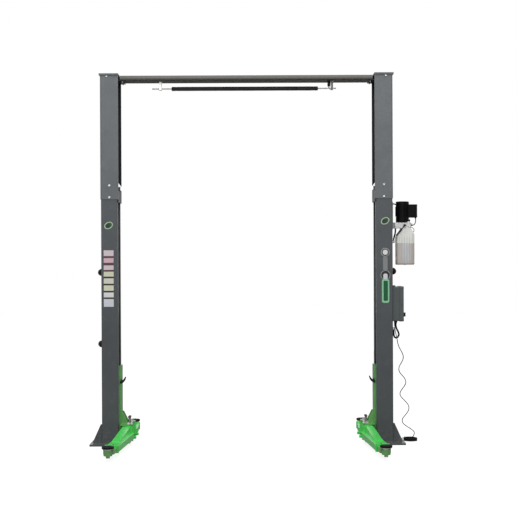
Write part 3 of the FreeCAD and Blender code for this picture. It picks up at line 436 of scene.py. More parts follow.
class Form:
    """Collects simple closed forms in one mesh."""

    def __init__(self):
        self.mesh = bmesh.new()
        self.material = 0

    def face(self, corners, smooth=False):
        made = self.mesh.faces.new(corners)
        made.smooth = smooth
        made.material_index = self.material

    def rings(self, rings, closed_path=False, smooth=True):
        """Skins rings of points in turn; the ends are capped unless the last ring joins the first."""
        rings = [[self.mesh.verts.new(p) for p in ring] for ring in rings]
        pairs = list(zip(rings, rings[1:])) + ([(rings[-1], rings[0])] if closed_path else [])
        for a, b in pairs:
            for i in range(len(a)):
                j = (i + 1) % len(a)
                self.face((a[i], a[j], b[j], b[i]), smooth)
        if not closed_path:
            self.face(rings[0][::-1])
            self.face(rings[-1])

    def lathe(self, matrix, profile, steps=24):
        """Turns (radius, height) pairs round the matrix's Z axis."""
        self.rings([[matrix @ Vector(p) for p in circle(0.0, 0.0, height, radius, steps)]
                    for radius, height in profile])

    def hexagon(self, matrix, across, low, high, bevel=0.12):
        """A hexagon head whose corners are turned off at the top."""
        corner = across / math.sqrt(3.0)
        self.rings([[matrix @ Vector(p) for p in circle(0.0, 0.0, height, corner * scale, 6)]
                    for scale, height in ((1.0, low), (1.0, high - bevel * across * 0.5), (0.90, high))],
                   smooth=False)

    def bolt(self, matrix, size, washer=True, tip=0.0):
        """A hexagon head on its washer, size being the thread diameter; a tip stands out of it as on a nut."""
        base = 0.0
        if washer:
            r = size * 0.98
            self.lathe(matrix, [(r, 0.0), (r, size * 0.15), (r * 0.96, size * 0.18), (size * 0.5, size * 0.18)], 28)
            base = size * 0.17
        top = base + size * 0.62
        self.hexagon(matrix, size * 1.5, base, top)
        if tip:
            r = size * 0.46
            self.lathe(matrix, [(r, base), (r, top + tip * 0.8), (size * 0.38, top + tip)], 16)

    def slab(self, matrix, size, edge, steps=3):
        """A block on the matrix with rounded upright edges and a small chamfer below and above."""
        rings = []
        chamfer = min(edge * 0.4, size[2] * 0.25)
        for inset, height in ((chamfer, 0.0), (0.0, chamfer), (0.0, size[2] - chamfer), (chamfer, size[2])):
            ring = []
            for corner, (sx, sy) in enumerate(CORNERS):
                for i in range(steps + 1):
                    angle = (corner + i / steps) * math.pi / 2
                    x = sx * (size[0] / 2 - edge) + (edge - inset) * math.cos(angle)
                    y = sy * (size[1] / 2 - edge) + (edge - inset) * math.sin(angle)
                    ring.append(matrix @ Vector((x, y, height)))
            rings.append(ring)
        self.rings(rings, smooth=False)

    def sweep(self, points, radii, steps=8, closed=False):
        """A round bar along points, with one radius for all or one for each."""
        points = [Vector(p) for p in points]
        if isinstance(radii, float):
            radii = [radii] * len(points)
        rings = []
        side = None
        for i, place in enumerate(points):
            after = points[(i + 1) % len(points)] if closed else points[min(i + 1, len(points) - 1)]
            before = points[i - 1] if closed or i else points[0]
            run = (after - before).normalized()
            if side is None:
                side = run.orthogonal().normalized()
            side = (side - run * side.dot(run)).normalized()
            other = run.cross(side)
            ring = []
            for k in range(steps):
                angle = math.tau * k / steps
                ring.append(place + (side * math.cos(angle) + other * math.sin(angle)) * radii[i])
            rings.append(ring)
        self.rings(rings, closed_path=closed)

    def weld(self, a, b, radius=0.004):
        """A fillet weld's rippled bead from a to b."""
        a, b = Vector(a), Vector(b)
        count = max(6, int((b - a).length / (radius * 0.55)))
        points = [a.lerp(b, i / count) for i in range(count + 1)]
        radii = [radius * (0.90 + 0.14 * math.sin(i * 2.1) + 0.05 * math.sin(i * 0.9)) for i in range(count + 1)]
        radii[0] = radii[-1] = radius * 0.4
        self.sweep(points, radii, 7)

    def finish(self, name, materials, body, smooth_angle=None):
        bmesh.ops.recalc_face_normals(self.mesh, faces=self.mesh.faces)
        mesh = bpy.data.meshes.new(name)
        self.mesh.to_mesh(mesh)
        self.mesh.free()
        for material in materials if isinstance(materials, list) else [materials]:
            mesh.materials.append(material)
        if smooth_angle:
            mesh.shade_smooth()
            mesh.set_sharp_from_angle(angle=math.radians(smooth_angle))
        made = bpy.data.objects.new(name, mesh)
        scene.collection.objects.link(made)
        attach(made, body)
        return made


# Splice bolts and a small bolt under each top cap, front and back
SPLICE_FACE_Y = 0.148
for side, sx in SIDES:
    bolts = Form()
    for sy in (-1, 1):
        for z in (2.479, 2.598):
            bolts.bolt(facing((sx * 1.375, sy * SPLICE_FACE_Y, z), (0, sy, 0), 11.0), 0.012)
        bolts.bolt(facing((sx * 1.398, sy * SPLICE_FACE_Y, 3.690), (0, sy, 0), 23.0), 0.008)
    bolts.finish(side + "_splice_bolts", ZINC, "frame")

# Beam bolts through the beam seats, hanger screws, and side flanges of the bar's hangers, zinc on the left and dark
# steel on the right as painted shade
fixings = Form()
for side, sx in SIDES:
    for sy in (-1, 1):
        fixings.bolt(facing((sx * 1.252, sy * 0.070, 3.659), (0, 0, 1), 9.0), 0.014)
        fixings.bolt(facing((sx * 1.252, sy * 0.070, 3.649), (0, 0, -1), 31.0), 0.014, tip=0.006)
for x in (-0.866, 0.868):
    fixings.bolt(facing((x, 0.0, 3.651), (0, 0, -1), 14.0), 0.009)
# The right hanger's flanges are dark steel where the left's are zinc: painted shade
for x, metal in ((-0.8695, 0), (0.8645, 1)):
    fixings.material = metal
    for sy in (-1, 1):
        fixings.slab(facing((x, sy * 0.0138, 3.6085), (0, sy, 0)), (0.025, 0.084, 0.0030), 0.004)
fixings.finish("beam_fixings", [ZINC, DARK_STEEL], "frame")

# Nuts on both sides of each hanger and a ring at each end of the safety bar
collars = Form()
for x, way in ((-0.888, -1), (-0.872, 1), (0.846, -1), (0.862, 1)):
    collars.lathe(facing((x, 0.0, BAR_Z), (way, 0, 0)), [
        (0.0062, 0.0), (0.0095, 0.0), (0.0100, 0.0008), (0.0100, 0.0052), (0.0095, 0.0060), (0.0062, 0.0060)])
for x, way in ((-0.951, 1), (0.907, -1)):
    collars.lathe(facing((x, 0.0, BAR_Z), (way, 0, 0)), [
        (0.0064, 0.0005), (0.0070, 0.0012), (0.0070, 0.0110), (0.0064, 0.0115)])
collars.finish("bar_collars", ZINC, "safety_bar")

# Weld beads at the gussets, column feet and carriages
WEB_X = 1.461  # outer face of a column's web
CLEVIS_TOP = 0.2105
for side, sx in SIDES:
    beads = Form()
    for sy in (-1, 1):
        for y in (0.108, 0.118):
            beads.weld((sx * WEB_X, sy * y, 0.022), (sx * WEB_X, sy * y, 0.196), 0.0042)
            beads.weld((sx * 1.464, sy * y, PLATE_TOP), (sx * 1.545, sy * y, PLATE_TOP), 0.0042)
        beads.weld((sx * 1.302, sy * 0.1435, PLATE_TOP), (sx * 1.446, sy * 0.1435, PLATE_TOP), 0.0045)
    beads.weld((sx * WEB_X, -0.104, PLATE_TOP), (sx * WEB_X, 0.104, PLATE_TOP), 0.0045)
    beads.finish(side + "_column_welds", GRAPHITE, "frame")
    beads = Form()
    for z in (0.210, 0.058):
        beads.weld((sx * 1.271, -0.080, z), (sx * 1.271, 0.080, z), 0.0040)
    for y in (0.0610, 0.0710):
        for sy in (-1, 1):
            beads.weld((sx * 1.271, sy * y, 0.214), (sx * 1.271, sy * y, 0.316), 0.0032)
            beads.weld((sx * 1.214, sy * y, CLEVIS_TOP), (sx * 1.268, sy * y, CLEVIS_TOP), 0.0032)
    for sy in (-1, 1):
        beads.weld((sx * 1.2135, sy * 0.0085, 0.060), (sx * 1.2135, sy * 0.0085, 0.192), 0.0030)
    # The carriage welds take the shaded copy of the green, painted shade
    beads.finish(side + "_carriage_welds", GREEN_SHADED, side + "_carriage")

# Adapter hooks: flattened horns that curl up from a plate on each carriage
for side, sx in SIDES:
    low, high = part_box(side + "_adapter_hook")
    y = (low.y + high.y) / 2
    inner = min(abs(low.x), abs(high.x))
    outer = max(abs(low.x), abs(high.x))
    reach = outer - inner - 0.012
    climb = high.z - low.z - 0.0165
    horn = Form()
    rings = []
    for i in range(25):
        t = i / 24.0
        middle = Vector((inner + 0.0080 + reach * (1.0 - t) ** 1.25, 0.0, low.z + 0.0125 + climb * t ** 2.1))
        along = Vector((-reach * 1.25 * max(0.02, 1.0 - t) ** 0.25, 0.0, climb * 2.1 * t ** 1.1 + 1e-6))
        along.normalize()
        normal = Vector((-along.z, 0.0, along.x))
        half = 0.0128 - 0.0078 * t ** 2.4
        ring = []
        for k in range(16):
            turn = math.tau * k / 16
            at = middle + normal * (half * math.cos(turn)) + Vector((0.0, 0.0054 * math.sin(turn), 0.0))
            ring.append((sx * at.x, y + at.y, at.z))
        rings.append(ring)
    horn.rings(rings)
    horn.slab(facing((sx * (outer - 0.0140), y, low.z + 0.0250), (-sx, 0, 0)), (0.0108, 0.048, 0.007), 0.003)
    horn.sweep([(sx * (outer - 0.0130), y, low.z + 0.0360), (sx * (outer - 0.0220), y, low.z + 0.0300),
                (sx * (outer - 0.0330), y, low.z + 0.0200)], [0.0052, 0.0050, 0.0036], 10)
    made = horn.finish(side + "_adapter_hook_detail", BLACK_PLASTIC, side + "_carriage", 40)
    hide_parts(side + "_adapter_hook")

# Arm pins get a grease nipple and a spring ring, release pins a return spring and a red knob
PIN_TOP = 0.218
SPRING_FOOT, SPRING_HEIGHT = 0.2118, 0.0475
SPRING_STEPS = 112  # seven turns of 16 steps
for side, sx in SIDES:
    greased = Form()
    springs = Form()
    knobs = Form()
    for sy in (-1, 1):
        top = Matrix.Translation((sx * PIN_X, sy * PIN_Y, PIN_TOP))
        greased.hexagon(top, 0.010, 0.0, 0.004)
        greased.lathe(top, [(0.0028, 0.004), (0.0028, 0.006), (0.0020, 0.007), (0.0030, 0.009), (0.0026, 0.0112),
                            (0.0012, 0.0120)], 14)
        greased.lathe(Matrix.Translation((sx * PIN_X, sy * PIN_Y, 0.0)), [
            (0.0200, 0.0372), (0.0232, 0.0372), (0.0236, 0.0380), (0.0232, 0.0388), (0.0200, 0.0388)], 36)
        coils = []
        for i in range(SPRING_STEPS + 1):
            height = SPRING_FOOT + SPRING_HEIGHT * i / SPRING_STEPS
            coils.append(circle(sx * PIN_X, sy * RELEASE_Y, height, 0.0104, 16)[i % 16])
        springs.sweep(coils, 0.0013, 6)
        knobs.lathe(Matrix.Translation((sx * PIN_X, sy * RELEASE_Y, 0.0)), [
            (0.0090, 0.2612), (0.0142, 0.2618), (0.0146, 0.2640), (0.0146, 0.2700), (0.0142, 0.2744),
            (0.0080, 0.2760), (0.0030, 0.2764)], 28)
    greased.finish(side + "_pin_fittings", ZINC, side + "_carriage", 40)
    springs.finish(side + "_release_springs", DARK_STEEL, side + "_carriage")
    knobs.finish(side + "_release_knobs", RED_PLASTIC, side + "_carriage", 40)

# Outer arms: weld beads round the stiffener and at the end, an end strap and two stop bolts
ARM_TOP = Vector((0.0, 0.0, 0.1232))
ARM_BOTTOM = Vector((0.0, 0.0, 0.0585))
STRAP_WIDTH = 0.015  # along the arm
for end, sy, degrees, length in (("front", -1, 4.0, 0.912), ("rear", 1, 2.0, 0.470)):
    for side, sx in SIDES:
        lean = math.radians(degrees)
        run = Vector((sx * math.sin(lean), sy * math.cos(lean), 0.0))
        across = Vector((-run.y, run.x, 0.0))
        foot = Vector((sx * PIN_X, sy * PIN_Y, 0.0))
        arm = end + "_" + side + "_arm"
        shift = -0.010 if sx * sy > 0 else 0.010
        beads = Form()
        for edge in (-0.034, 0.034):
            line = foot + across * (edge - shift) + ARM_TOP
            beads.weld(line + run * 0.062, line + run * (length * 0.695), 0.0032)
        tip = foot + run * (length * 0.70) + ARM_TOP
        beads.weld(tip - across * (0.030 + shift), tip + across * (0.030 - shift), 0.0032)
        for edge in (-0.0545, 0.0545):
            line = foot + across * edge + ARM_TOP
            beads.weld(line + run * (0.905 * length), line + run * (length - 0.004), 0.0024)
        beads.finish(arm + "_welds", GREEN, arm)
        strap = Form()
        turned = Matrix.Rotation(math.atan2(run.y, run.x), 4, "Z")
        middle = foot + run * (length - 0.0085)
        upper = Matrix.Translation(middle + Vector((0.0, 0.0, 0.1231)))
        lower = Matrix.Translation(middle + ARM_BOTTOM)
        strap.slab(upper @ turned, (STRAP_WIDTH, 0.130, 0.010), 0.003)
        strap.slab(lower @ turned, (STRAP_WIDTH, 0.118, 0.0033), 0.002)
        for edge in (-0.0626, 0.0626):
            place = Matrix.Translation(middle + across * edge + ARM_BOTTOM)
            strap.slab(place @ turned, (STRAP_WIDTH, 0.0050, 0.0735), 0.002)
        strap.finish(arm + "_end_strap", GREEN, arm)
        screws = Form()
        for back, washer in ((0.030, False), (0.075, True)):
            place = foot + run * (length - back) + ARM_TOP - Vector((0.0, 0.0, 0.0002))
            screws.bolt(facing(place, (0, 0, 1), 17.0), 0.008, washer=washer)
        screws.finish(arm + "_stop_bolts", DARK_STEEL, arm)

# Plain film panels on the front flanges of the columns, with nothing printed on them
FILM_COLOURS = (
    ("rose", (222, 188, 198)), ("pale_rose", (224, 210, 216)), ("cream", (226, 226, 200)),
    ("ivory", (224, 223, 208)), ("white", (236, 237, 236)), ("blue_white", (222, 225, 232)),
    ("plum", (98, 66, 76)), ("dark", (44, 46, 42)), ("mint", (150, 212, 168)), ("green", (18, 92, 54)),
    ("grey", (136, 139, 140)), ("leaf", (196, 218, 180)))
FILMS = [moulded("film_" + name, colour, gloss=(0.30, 0.44), grain=900.0, lift=6, specular=0.3)
         for name, colour in FILM_COLOURS]
ROSE, PALE_ROSE, CREAM, IVORY, WHITE, BLUE_WHITE, PLUM, DARK, MINT, DEEP_GREEN, GREY, LEAF = range(12)
FLANGE_Y = -0.1425
FILM_HEIGHT, LAYER_HEIGHT = 0.0006, 0.0004


def film_slab(form, film, x0, x1, z0, z1, corner, layer=0):
    form.material = film
    place = ((x0 + x1) / 2, FLANGE_Y, (z0 + z1) / 2)
    form.slab(facing(place, (0, -1, 0)), (x1 - x0, z1 - z0, FILM_HEIGHT + LAYER_HEIGHT * layer), corner)


def film_disc(form, film, x, z, radius, layer=0, wide=1.0, turn=0.0):
    form.material = film
    matrix = facing((x, FLANGE_Y, z), (0, -1, 0), turn) @ Matrix.Diagonal((wide, 1.0, 1.0, 1.0))
    high = FILM_HEIGHT + LAYER_HEIGHT * layer
    form.lathe(matrix, [(radius, 0.0), (radius, high * 0.8), (radius - high * 0.3, high)], 48)


def film_oval(form, x, z):
    """Three leaning ovals, each on the larger one."""
    film_disc(form, LEAF, x, z, 0.033, 0, 1.36, 30.0)
    film_disc(form, DEEP_GREEN, x, z, 0.0262, 1, 1.40, 30.0)
    film_disc(form, DARK, x - 0.007, z - 0.004, 0.0180, 2, 1.3, 30.0)


strip = Form()
film_slab(strip, PLUM, -1.435, -1.335, 1.738, 1.952, 0.003)
film_slab(strip, DARK, -1.435, -1.335, 1.383, 1.744, 0.003)
for film, low_z, high_z in ((PALE_ROSE, 1.893, 1.950), (ROSE, 1.826, 1.872), (PALE_ROSE, 1.754, 1.799),
                            (CREAM, 1.687, 1.737), (IVORY, 1.616, 1.670), (CREAM, 1.545, 1.599),
                            (WHITE, 1.479, 1.528), (BLUE_WHITE, 1.385, 1.463)):
    film_slab(strip, film, -1.4345, -1.3355, low_z, high_z, 0.002, 1)
film_oval(strip, -1.384, 2.199)
strip.finish("left_column_panels", FILMS, "frame")
plates = Form()
film_oval(plates, 1.385, 2.234)
film_disc(plates, WHITE, 1.385, 1.919, 0.0415, 0)
film_disc(plates, DARK, 1.385, 1.919, 0.0385, 1)
film_disc(plates, WHITE, 1.385, 1.919, 0.0260, 2)
film_slab(plates, GREY, 1.362, 1.408, 1.742, 1.872, 0.006)
film_disc(plates, WHITE, 1.386, 1.690, 0.0475, 0)
film_disc(plates, DARK, 1.386, 1.690, 0.0450, 1)
film_slab(plates, BLUE_WHITE, 1.364, 1.408, 1.640, 1.706, 0.018, 2)
film_slab(plates, MINT, 1.350, 1.424, 1.412, 1.652, 0.020, 3)
film_slab(plates, DEEP_GREEN, 1.366, 1.410, 1.432, 1.634, 0.008, 4)
plates.finish("right_column_panels", FILMS, "frame")

# Oil tank: a blown bottle with sloping shoulders and upright flutes on its front and outer faces
TANK_CORNER, CORNER_STEPS, FACE_STEPS = 0.022, 8, 30
FOOT_ROUNDING, FOOT_LIFT = 0.0100, 0.0006
INNER_SHOULDER, OUTER_SHOULDER, FLUTE_TOP = 2.078, 2.106, 2.086
FLUTE_HEIGHT = 0.0023
low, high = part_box("oil_tank")
tank_left, tank_right = low.x, high.x - 0.0025
tank_front, tank_back = low.y + 0.0025, high.y


def flute(place, middle):
    """How far the flutes stand out at a place along a face, from 0 to 1, five of them round its middle."""
    off = (place - middle) / FLUTE_PITCH
    return 0.0 if abs(off) > 2.5 else 0.5 + 0.5 * math.cos(math.tau * off)


tank = Form()
rings = []
levels = [(low.z + FOOT_LIFT + FOOT_ROUNDING * (1 - math.cos(a)), FOOT_ROUNDING * (1 - math.sin(a)))
          for a in (0.0, 0.3, 0.6, 0.9, 1.2, 1.5708)]
levels += [(low.z + 0.0106 + (high.z - low.z - 0.0112) * i / 60.0, 0.0) for i in range(1, 61)]
for z, shrink in levels:
    left = tank_left + shrink + max(0.0, z - INNER_SHOULDER) * 0.62
    right = tank_right - shrink - max(0.0, z - OUTER_SHOULDER) * 0.64
    front, back = tank_front + shrink, tank_back - shrink
    tall = max(0.0, min(1.0, (z - low.z - 0.028) / 0.014)) * max(0.0, min(1.0, (FLUTE_TOP - z) / 0.014))
    centres = [((right - TANK_CORNER) if sx > 0 else (left + TANK_CORNER),
                (back - TANK_CORNER) if sy > 0 else (front + TANK_CORNER)) for sx, sy in CORNERS]
    ring = []
    for number, (cx, cy) in enumerate(centres):
        for i in range(CORNER_STEPS + 1):
            angle = (number + i / CORNER_STEPS) * math.pi / 2
            ring.append((cx + TANK_CORNER * math.cos(angle), cy + TANK_CORNER * math.sin(angle)))
        x, y = ring[-1]
        next_x, next_y = centres[(number + 1) % 4]
        next_x += TANK_CORNER * math.cos((number + 1) * math.pi / 2)
        next_y += TANK_CORNER * math.sin((number + 1) * math.pi / 2)
        for i in range(1, FACE_STEPS):
            ring.append((x + (next_x - x) * i / FACE_STEPS, y + (next_y - y) * i / FACE_STEPS))
    fluted = []
    for x, y in ring:
        if abs(y - front) < 1e-5:
            y -= FLUTE_HEIGHT * tall * flute(x, (tank_left + tank_right) / 2)
        elif abs(x - right) < 1e-5:
            x += FLUTE_HEIGHT * tall * flute(y, (tank_front + tank_back) / 2)
        fluted.append((x, y, z))
    rings.append(fluted)
tank.rings(rings)
bottle = tank.finish("oil_tank_bottle", TANK, "frame", 50)
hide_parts("oil_tank")

# Power unit's plated fittings: manifold plugs, pressure port, bracket bolts, drain plug
unit = Form()
for x, z in ((1.512, 2.196), (1.535, 2.174), (1.610, 2.190), (1.634, 2.176)):
    unit.hexagon(facing((x, -0.1105, z), (0, -1, 0), 12.0), 0.015, 0.0, 0.006)
unit.lathe(facing((1.6495, UNIT_Y, 2.196), (1, 0, 0)), [
    (0.013, 0.0), (0.013, 0.010), (0.010, 0.012), (0.010, 0.024), (0.008, 0.026)])
for y in (-0.0896, 0.0096):
    for x, z in ((1.482, 2.175), (1.482, 2.205), (1.466, 2.395)):
        unit.bolt(facing((x, y, z), (1, 0, 0), 5.0), 0.007)
unit.lathe(Matrix.Translation((TANK_X, UNIT_Y, 1.7905)), [(0.009, 0.0), (0.011, 0.0012), (0.011, 0.0040)], 24)
unit.finish("power_unit_fittings", ZINC, "frame", 40)

# Its black details: filler cap, wire glands, motor lid and ribs, screws and lid seam of the terminal box
details = Form()
CAP_X, CAP_Y, CAP_RADIUS, CAP_GRIP = 1.624, -0.094, 0.0172, 0.0006
rings = []
for r, z in ((0.0150, 2.2318), (CAP_RADIUS, 2.2322), (CAP_RADIUS, 2.2452), (0.0158, 2.2478), (0.0060, 2.2482)):
    plain = circle(CAP_X, CAP_Y, z, r, 48)
    raised = circle(CAP_X, CAP_Y, z, r + CAP_GRIP if r == CAP_RADIUS else r, 48)
    rings.append([raised[k] if k % 2 else plain[k] for k in range(48)])
details.rings(rings, smooth=False)
details.lathe(facing((1.6500, -0.076, 2.190), (1, 0, 0)), [
    (0.009, 0.0), (0.009, 0.008), (0.0065, 0.010), (0.0065, 0.016), (0.004, 0.018)])
details.lathe(facing((1.700, -0.060, 2.2685), (0, 0, -1)), [
    (0.009, 0.0), (0.009, 0.007), (0.0060, 0.009), (0.0060, 0.014), (0.004, 0.016)])
details.lathe(Matrix.Translation((MOTOR_X, UNIT_Y, 0.0)), [
    (0.060, 2.4228), (0.0655, 2.4222), (0.0668, 2.4200), (0.0668, 2.3960), (0.0655, 2.3945), (0.060, 2.3940)], 64)
RIBS, MOTOR_RADIUS = 22, 0.0655
for k in range(RIBS):
    angle = math.tau * (k + 0.5) / RIBS
    outward = Vector((math.cos(angle), math.sin(angle), 0.0))
    if abs(outward.y) < 0.62 and outward.x > 0:
        continue  # the terminal box sits here
    place = Vector((MOTOR_X, UNIT_Y, 2.329)) + outward * MOTOR_RADIUS
    details.slab(facing(place, outward), (0.0042, 0.100, 0.0060), 0.0018)
for y in (-0.088, -0.012):
    for z in (2.280, 2.388):
        details.lathe(facing((1.7125, y, z), (1, 0, 0)), [
            (0.0050, 0.0), (0.0050, 0.0014), (0.0042, 0.0022), (0.0012, 0.0016)], 18)
details.sweep([(1.690, -0.0985, 2.277), (1.690, -0.0985, 2.391), (1.690, -0.0015, 2.391), (1.690, -0.0015, 2.277)],
              0.0012, 6, True)
details.finish("power_unit_black_details", MOTOR_BLACK, "frame", 40)

# Its three short wires
wires = Form()
for radius, route in (
        (0.0042, [(1.700, -0.060, 2.262), (1.701, -0.061, 2.246), (1.700, -0.064, 2.226), (1.692, -0.070, 2.206),
                  (1.680, -0.075, 2.194), (1.666, -0.076, 2.190)]),
        (0.0030, [(1.652, -0.104, 2.168), (1.664, -0.106, 2.163), (1.676, -0.108, 2.150), (1.678, -0.108, 2.134),
                  (1.671, -0.106, 2.120), (1.666, -0.103, 2.108)]),
        (0.0060, [(1.462, -0.070, 2.402), (1.476, -0.072, 2.406), (1.490, -0.073, 2.403),
                  (1.504, -0.073, 2.396)])):
    wires.sweep(bowed(route), radius, 10)
wires.finish("power_unit_wires", RUBBER, "frame")

# Grip of the lowering lever, with twelve rings
slope = math.radians(50.0)
down_stick = Vector((-math.cos(slope), 0.0, -math.sin(slope)))
stick = Vector((1.582, -0.1515, 2.1885))
profile = [(0.0052, 0.0), (0.0074, 0.001)]
for i in range(12):
    profile += [(0.0080, 0.004 + 0.0058 * i), (0.0074, 0.0068 + 0.0058 * i)]
grip = Form()
grip.lathe(facing(stick + down_stick * 0.052, down_stick), profile + [(0.0078, 0.0735), (0.0056, 0.0745)], 20)
grip.finish("lever_grip", RUBBER, "lowering_lever", 50)

# Control box: seal in the cover's seam and under the switch, cover screws, hinge pins and the front plug
trim = Form()
trim.sweep([(BOX_SEAM_X, -0.1155, 1.2265), (BOX_SEAM_X, -0.1155, 1.5725), (BOX_SEAM_X, 0.1155, 1.5725),
            (BOX_SEAM_X, 0.1155, 1.2265)], 0.0014, 6, True)
trim.lathe(facing((BOX_FACE_X, -0.040, 1.290), (1, 0, 0)), [(0.0290, 0.0), (0.0290, 0.0002), (0.0280, 0.0003)], 40)
trim.finish("control_box_seal", RUBBER, "frame")
screws = Form()
for y in (-0.105, 0.105):
    for z in (1.237, 1.562):
        screws.lathe(facing((BOX_FACE_X, y, z), (1, 0, 0)), [
            (0.0062, 0.0), (0.0060, 0.0016), (0.0045, 0.0026), (0.0015, 0.0020)], 20)
for z in (1.270, 1.530):
    screws.sweep([(BOX_SEAM_X, 0.1195, z - 0.018), (BOX_SEAM_X, 0.1195, z + 0.018)], 0.0042, 12)
screws.lathe(facing((1.552, -0.1200, 1.400), (0, -1, 0)), [
    (0.0085, 0.0), (0.0085, 0.0026), (0.0070, 0.0036), (0.0020, 0.0030)], 24)
screws.finish("control_box_screws", DARK_STEEL, "frame", 40)

# Foam sleeve on the safety bar: soft, a little uneven, pinched near its ends
FOAM_RADIUS, BORE_RADIUS, FOAM_STEPS = 0.021, 0.0066, 40
low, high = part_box("bar_foam")
length = high.x - low.x
middle_z = (low.z + high.z) / 2
rings = []
for i in range(221):
    share = i / 220.0
    x = low.x + length * share
    end = min(share, 1 - share) * length
    rim = min(1.0, 0.86 + end / 0.006 * 0.14)
    pinch = 1.0 - 0.05 * math.exp(-((end - 0.045) / 0.012) ** 2)
    ring = []
    for k in range(FOAM_STEPS):
        angle = math.tau * k / FOAM_STEPS
        soft = 0.990 - 0.008 * math.sin(x * 9.0 + 1.3 * math.sin(angle)) - 0.006 * math.sin(x * 31.0 + 2 * angle)
        r = FOAM_RADIUS * rim * pinch * soft
        ring.append((x, r * math.cos(angle), middle_z + r * math.sin(angle)))
    rings.append(ring)
for x in (high.x, low.x):
    rings.append([(x, y, z) for y, z, _ in circle(0.0, middle_z, 0.0, BORE_RADIUS, FOAM_STEPS)])
foam = Form()
foam.rings(rings, closed_path=True)
foam_sleeve = foam.finish("bar_foam_sleeve", FOAM, "safety_bar")
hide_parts("bar_foam")

# Lifting pads: waffled rubber in its steel holder, and the screw with its thread
WAFFLE = 640.0  # radians a metre
FIELD_RADIUS = 0.035  # inside it the pad's top lies a little lower
PAD_STEPS = 96
THREAD_RADIUS, THREAD_DEPTH, THREAD_PITCH, THREAD_STEPS = 0.0191, 0.0009, 0.005, 20


def waffle(across):
    """0 in a groove and 1 on a rib of the pad's top, along one direction."""
    return max(0.0, min(1.0, (math.cos(across * WAFFLE) + 0.25) * 2.4))


for end in ("front", "rear"):
    for side, sx in SIDES:
        name = end + "_" + side
        low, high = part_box(name + "_pad_rubber")
        mid = (low + high) / 2
        radius = (high.x - low.x) / 2
        top = high.z
        profile = [(0.0505, low.z), (radius - 0.004, low.z), (radius - 0.001, low.z + 0.0012),
                   (radius, low.z + 0.004), (radius, top - 0.006), (radius - 0.0012, top - 0.003),
                   (radius - 0.004, top - 0.0012)]
        rings = [circle(mid.x, mid.y, z, r, PAD_STEPS) for r, z in profile]
        for i in range(56):
            r = radius - 0.006 - 0.0009 * i
            dish, rib = (0.0015, 0.0015) if r > FIELD_RADIUS else (0.003, 0.0012)
            rings.append([(mid.x + x, mid.y + y, top - dish + rib * (waffle(x) * waffle(y)))
                          for x, y, _ in circle(0.0, 0.0, 0.0, r, PAD_STEPS)])
        pad = Form()
        pad.rings(rings, smooth=False)
        detail = pad.finish(name + "_pad_rubber_detail", RUBBER, name + "_pad", 30)
        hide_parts(name + "_pad_rubber")
        rings = [circle(mid.x, mid.y, 0.040, 0.015, THREAD_STEPS)]
        for i in range(61):
            z = 0.0405 + 0.0800 * i / 60
            ring = []
            for k in range(THREAD_STEPS):
                angle = math.tau * k / THREAD_STEPS
                r = THREAD_RADIUS + THREAD_DEPTH * math.cos(math.tau * z / THREAD_PITCH - angle)
                ring.append((mid.x + r * math.cos(angle), mid.y + r * math.sin(angle), z))
            rings.append(ring)
        screw = Form()
        screw.rings(rings)
        at = Matrix.Translation((mid.x, mid.y, 0.0))
        screw.lathe(at, [(0.0285, 0.1103), (0.0285, 0.1205), (0.0275, 0.1212), (0.020, 0.1212)], 40)
        screw.lathe(at, [(0.030, 0.1210), (0.0490, 0.1210), (0.050, 0.1220), (0.050, 0.1262), (0.0492, 0.1270),
                         (0.030, 0.1270)], 56)
        detail = screw.finish(name + "_pad_screw_detail", ZINC, name + "_pad", 35)
        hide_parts(name + "_pad_screw")

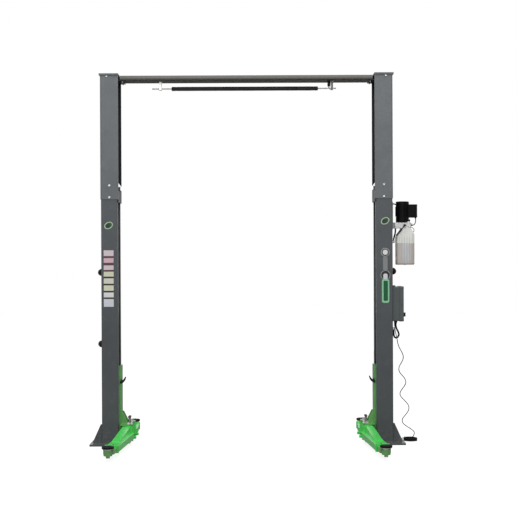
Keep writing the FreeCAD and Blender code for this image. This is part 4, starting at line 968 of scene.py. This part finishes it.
# Light: a soft studio that lights weakly, and shows white to the camera and in reflections
world = bpy.data.worlds.new("studio")
scene.world = world
world.use_nodes = True
studio = world.node_tree
dim = studio.nodes["Background"]
seen = studio.nodes.new("ShaderNodeBackground")
for backdrop, strength in ((dim, 0.25), (seen, 1.0)):
    backdrop.inputs["Color"].default_value = (1.0, 1.0, 1.0, 1.0)
    backdrop.inputs["Strength"].default_value = strength
path = studio.nodes.new("ShaderNodeLightPath")
shown = path.outputs["Is Camera Ray"]
for ray in ("Is Glossy Ray", "Is Transmission Ray"):
    most = studio.nodes.new("ShaderNodeMath")
    most.operation = "MAXIMUM"
    studio.links.new(shown, most.inputs[0])
    studio.links.new(path.outputs[ray], most.inputs[1])
    shown = most.outputs["Value"]
swap = studio.nodes.new("ShaderNodeMixShader")
studio.links.new(shown, swap.inputs["Fac"])
studio.links.new(dim.outputs["Background"], swap.inputs[1])
studio.links.new(seen.outputs["Background"], swap.inputs[2])
studio.links.new(swap.outputs["Shader"], studio.nodes["World Output"].inputs["Surface"])


def area_light(name, place, target, size, power):
    lamp = bpy.data.lights.new(name, "AREA")
    lamp.shape = "RECTANGLE"
    lamp.size, lamp.size_y = size
    lamp.energy = power
    made = bpy.data.objects.new(name, lamp)
    scene.collection.objects.link(made)
    made.location = place
    made.rotation_euler = (Vector(target) - Vector(place)).to_track_quat("-Z", "Y").to_euler()


area_light("top_light", (0.0, -3.0, 7.5), (0.0, 0.0, 1.0), (8.0, 5.0), 260.0)
area_light("front_light", (-0.6, -12.0, 6.0), (0.0, 0.0, 1.8), (10.0, 6.0), 420.0)

# Floor: white to the camera, grey to the light that it throws back
bpy.ops.mesh.primitive_plane_add(size=60.0, location=(0.0, 0.0, -0.0005))
floor = bpy.context.object
floor.name = "floor"
ground = Paint("floor_white", (0.42, 0.42, 0.42, 1.0), specular=0.1)
ground.tint(ground.ramp(ground.noise(0.6, 3.0), 0.3, 0.7), (0.40, 0.40, 0.40, 1.0))
ground.roughness(ground.noise(3.0), 0.70, 0.85)
glow = ground.node("ShaderNodeEmission", {"Strength": 0.86})
paths = ground.node("ShaderNodeLightPath")
lit = ground.node("ShaderNodeAddShader")
ground.wire(ground.shader.outputs["BSDF"], lit.inputs[0])
ground.wire(glow.outputs["Emission"], lit.inputs[1])
pale = ground.node("ShaderNodeMixShader")
ground.wire(paths.outputs["Is Camera Ray"], pale.inputs["Fac"])
ground.wire(ground.shader.outputs["BSDF"], pale.inputs[1])
ground.wire(lit.outputs["Shader"], pale.inputs[2])
ground.wire(pale.outputs["Shader"], ground.tree.nodes["Material Output"].inputs["Surface"])
floor.data.materials.append(ground.material)
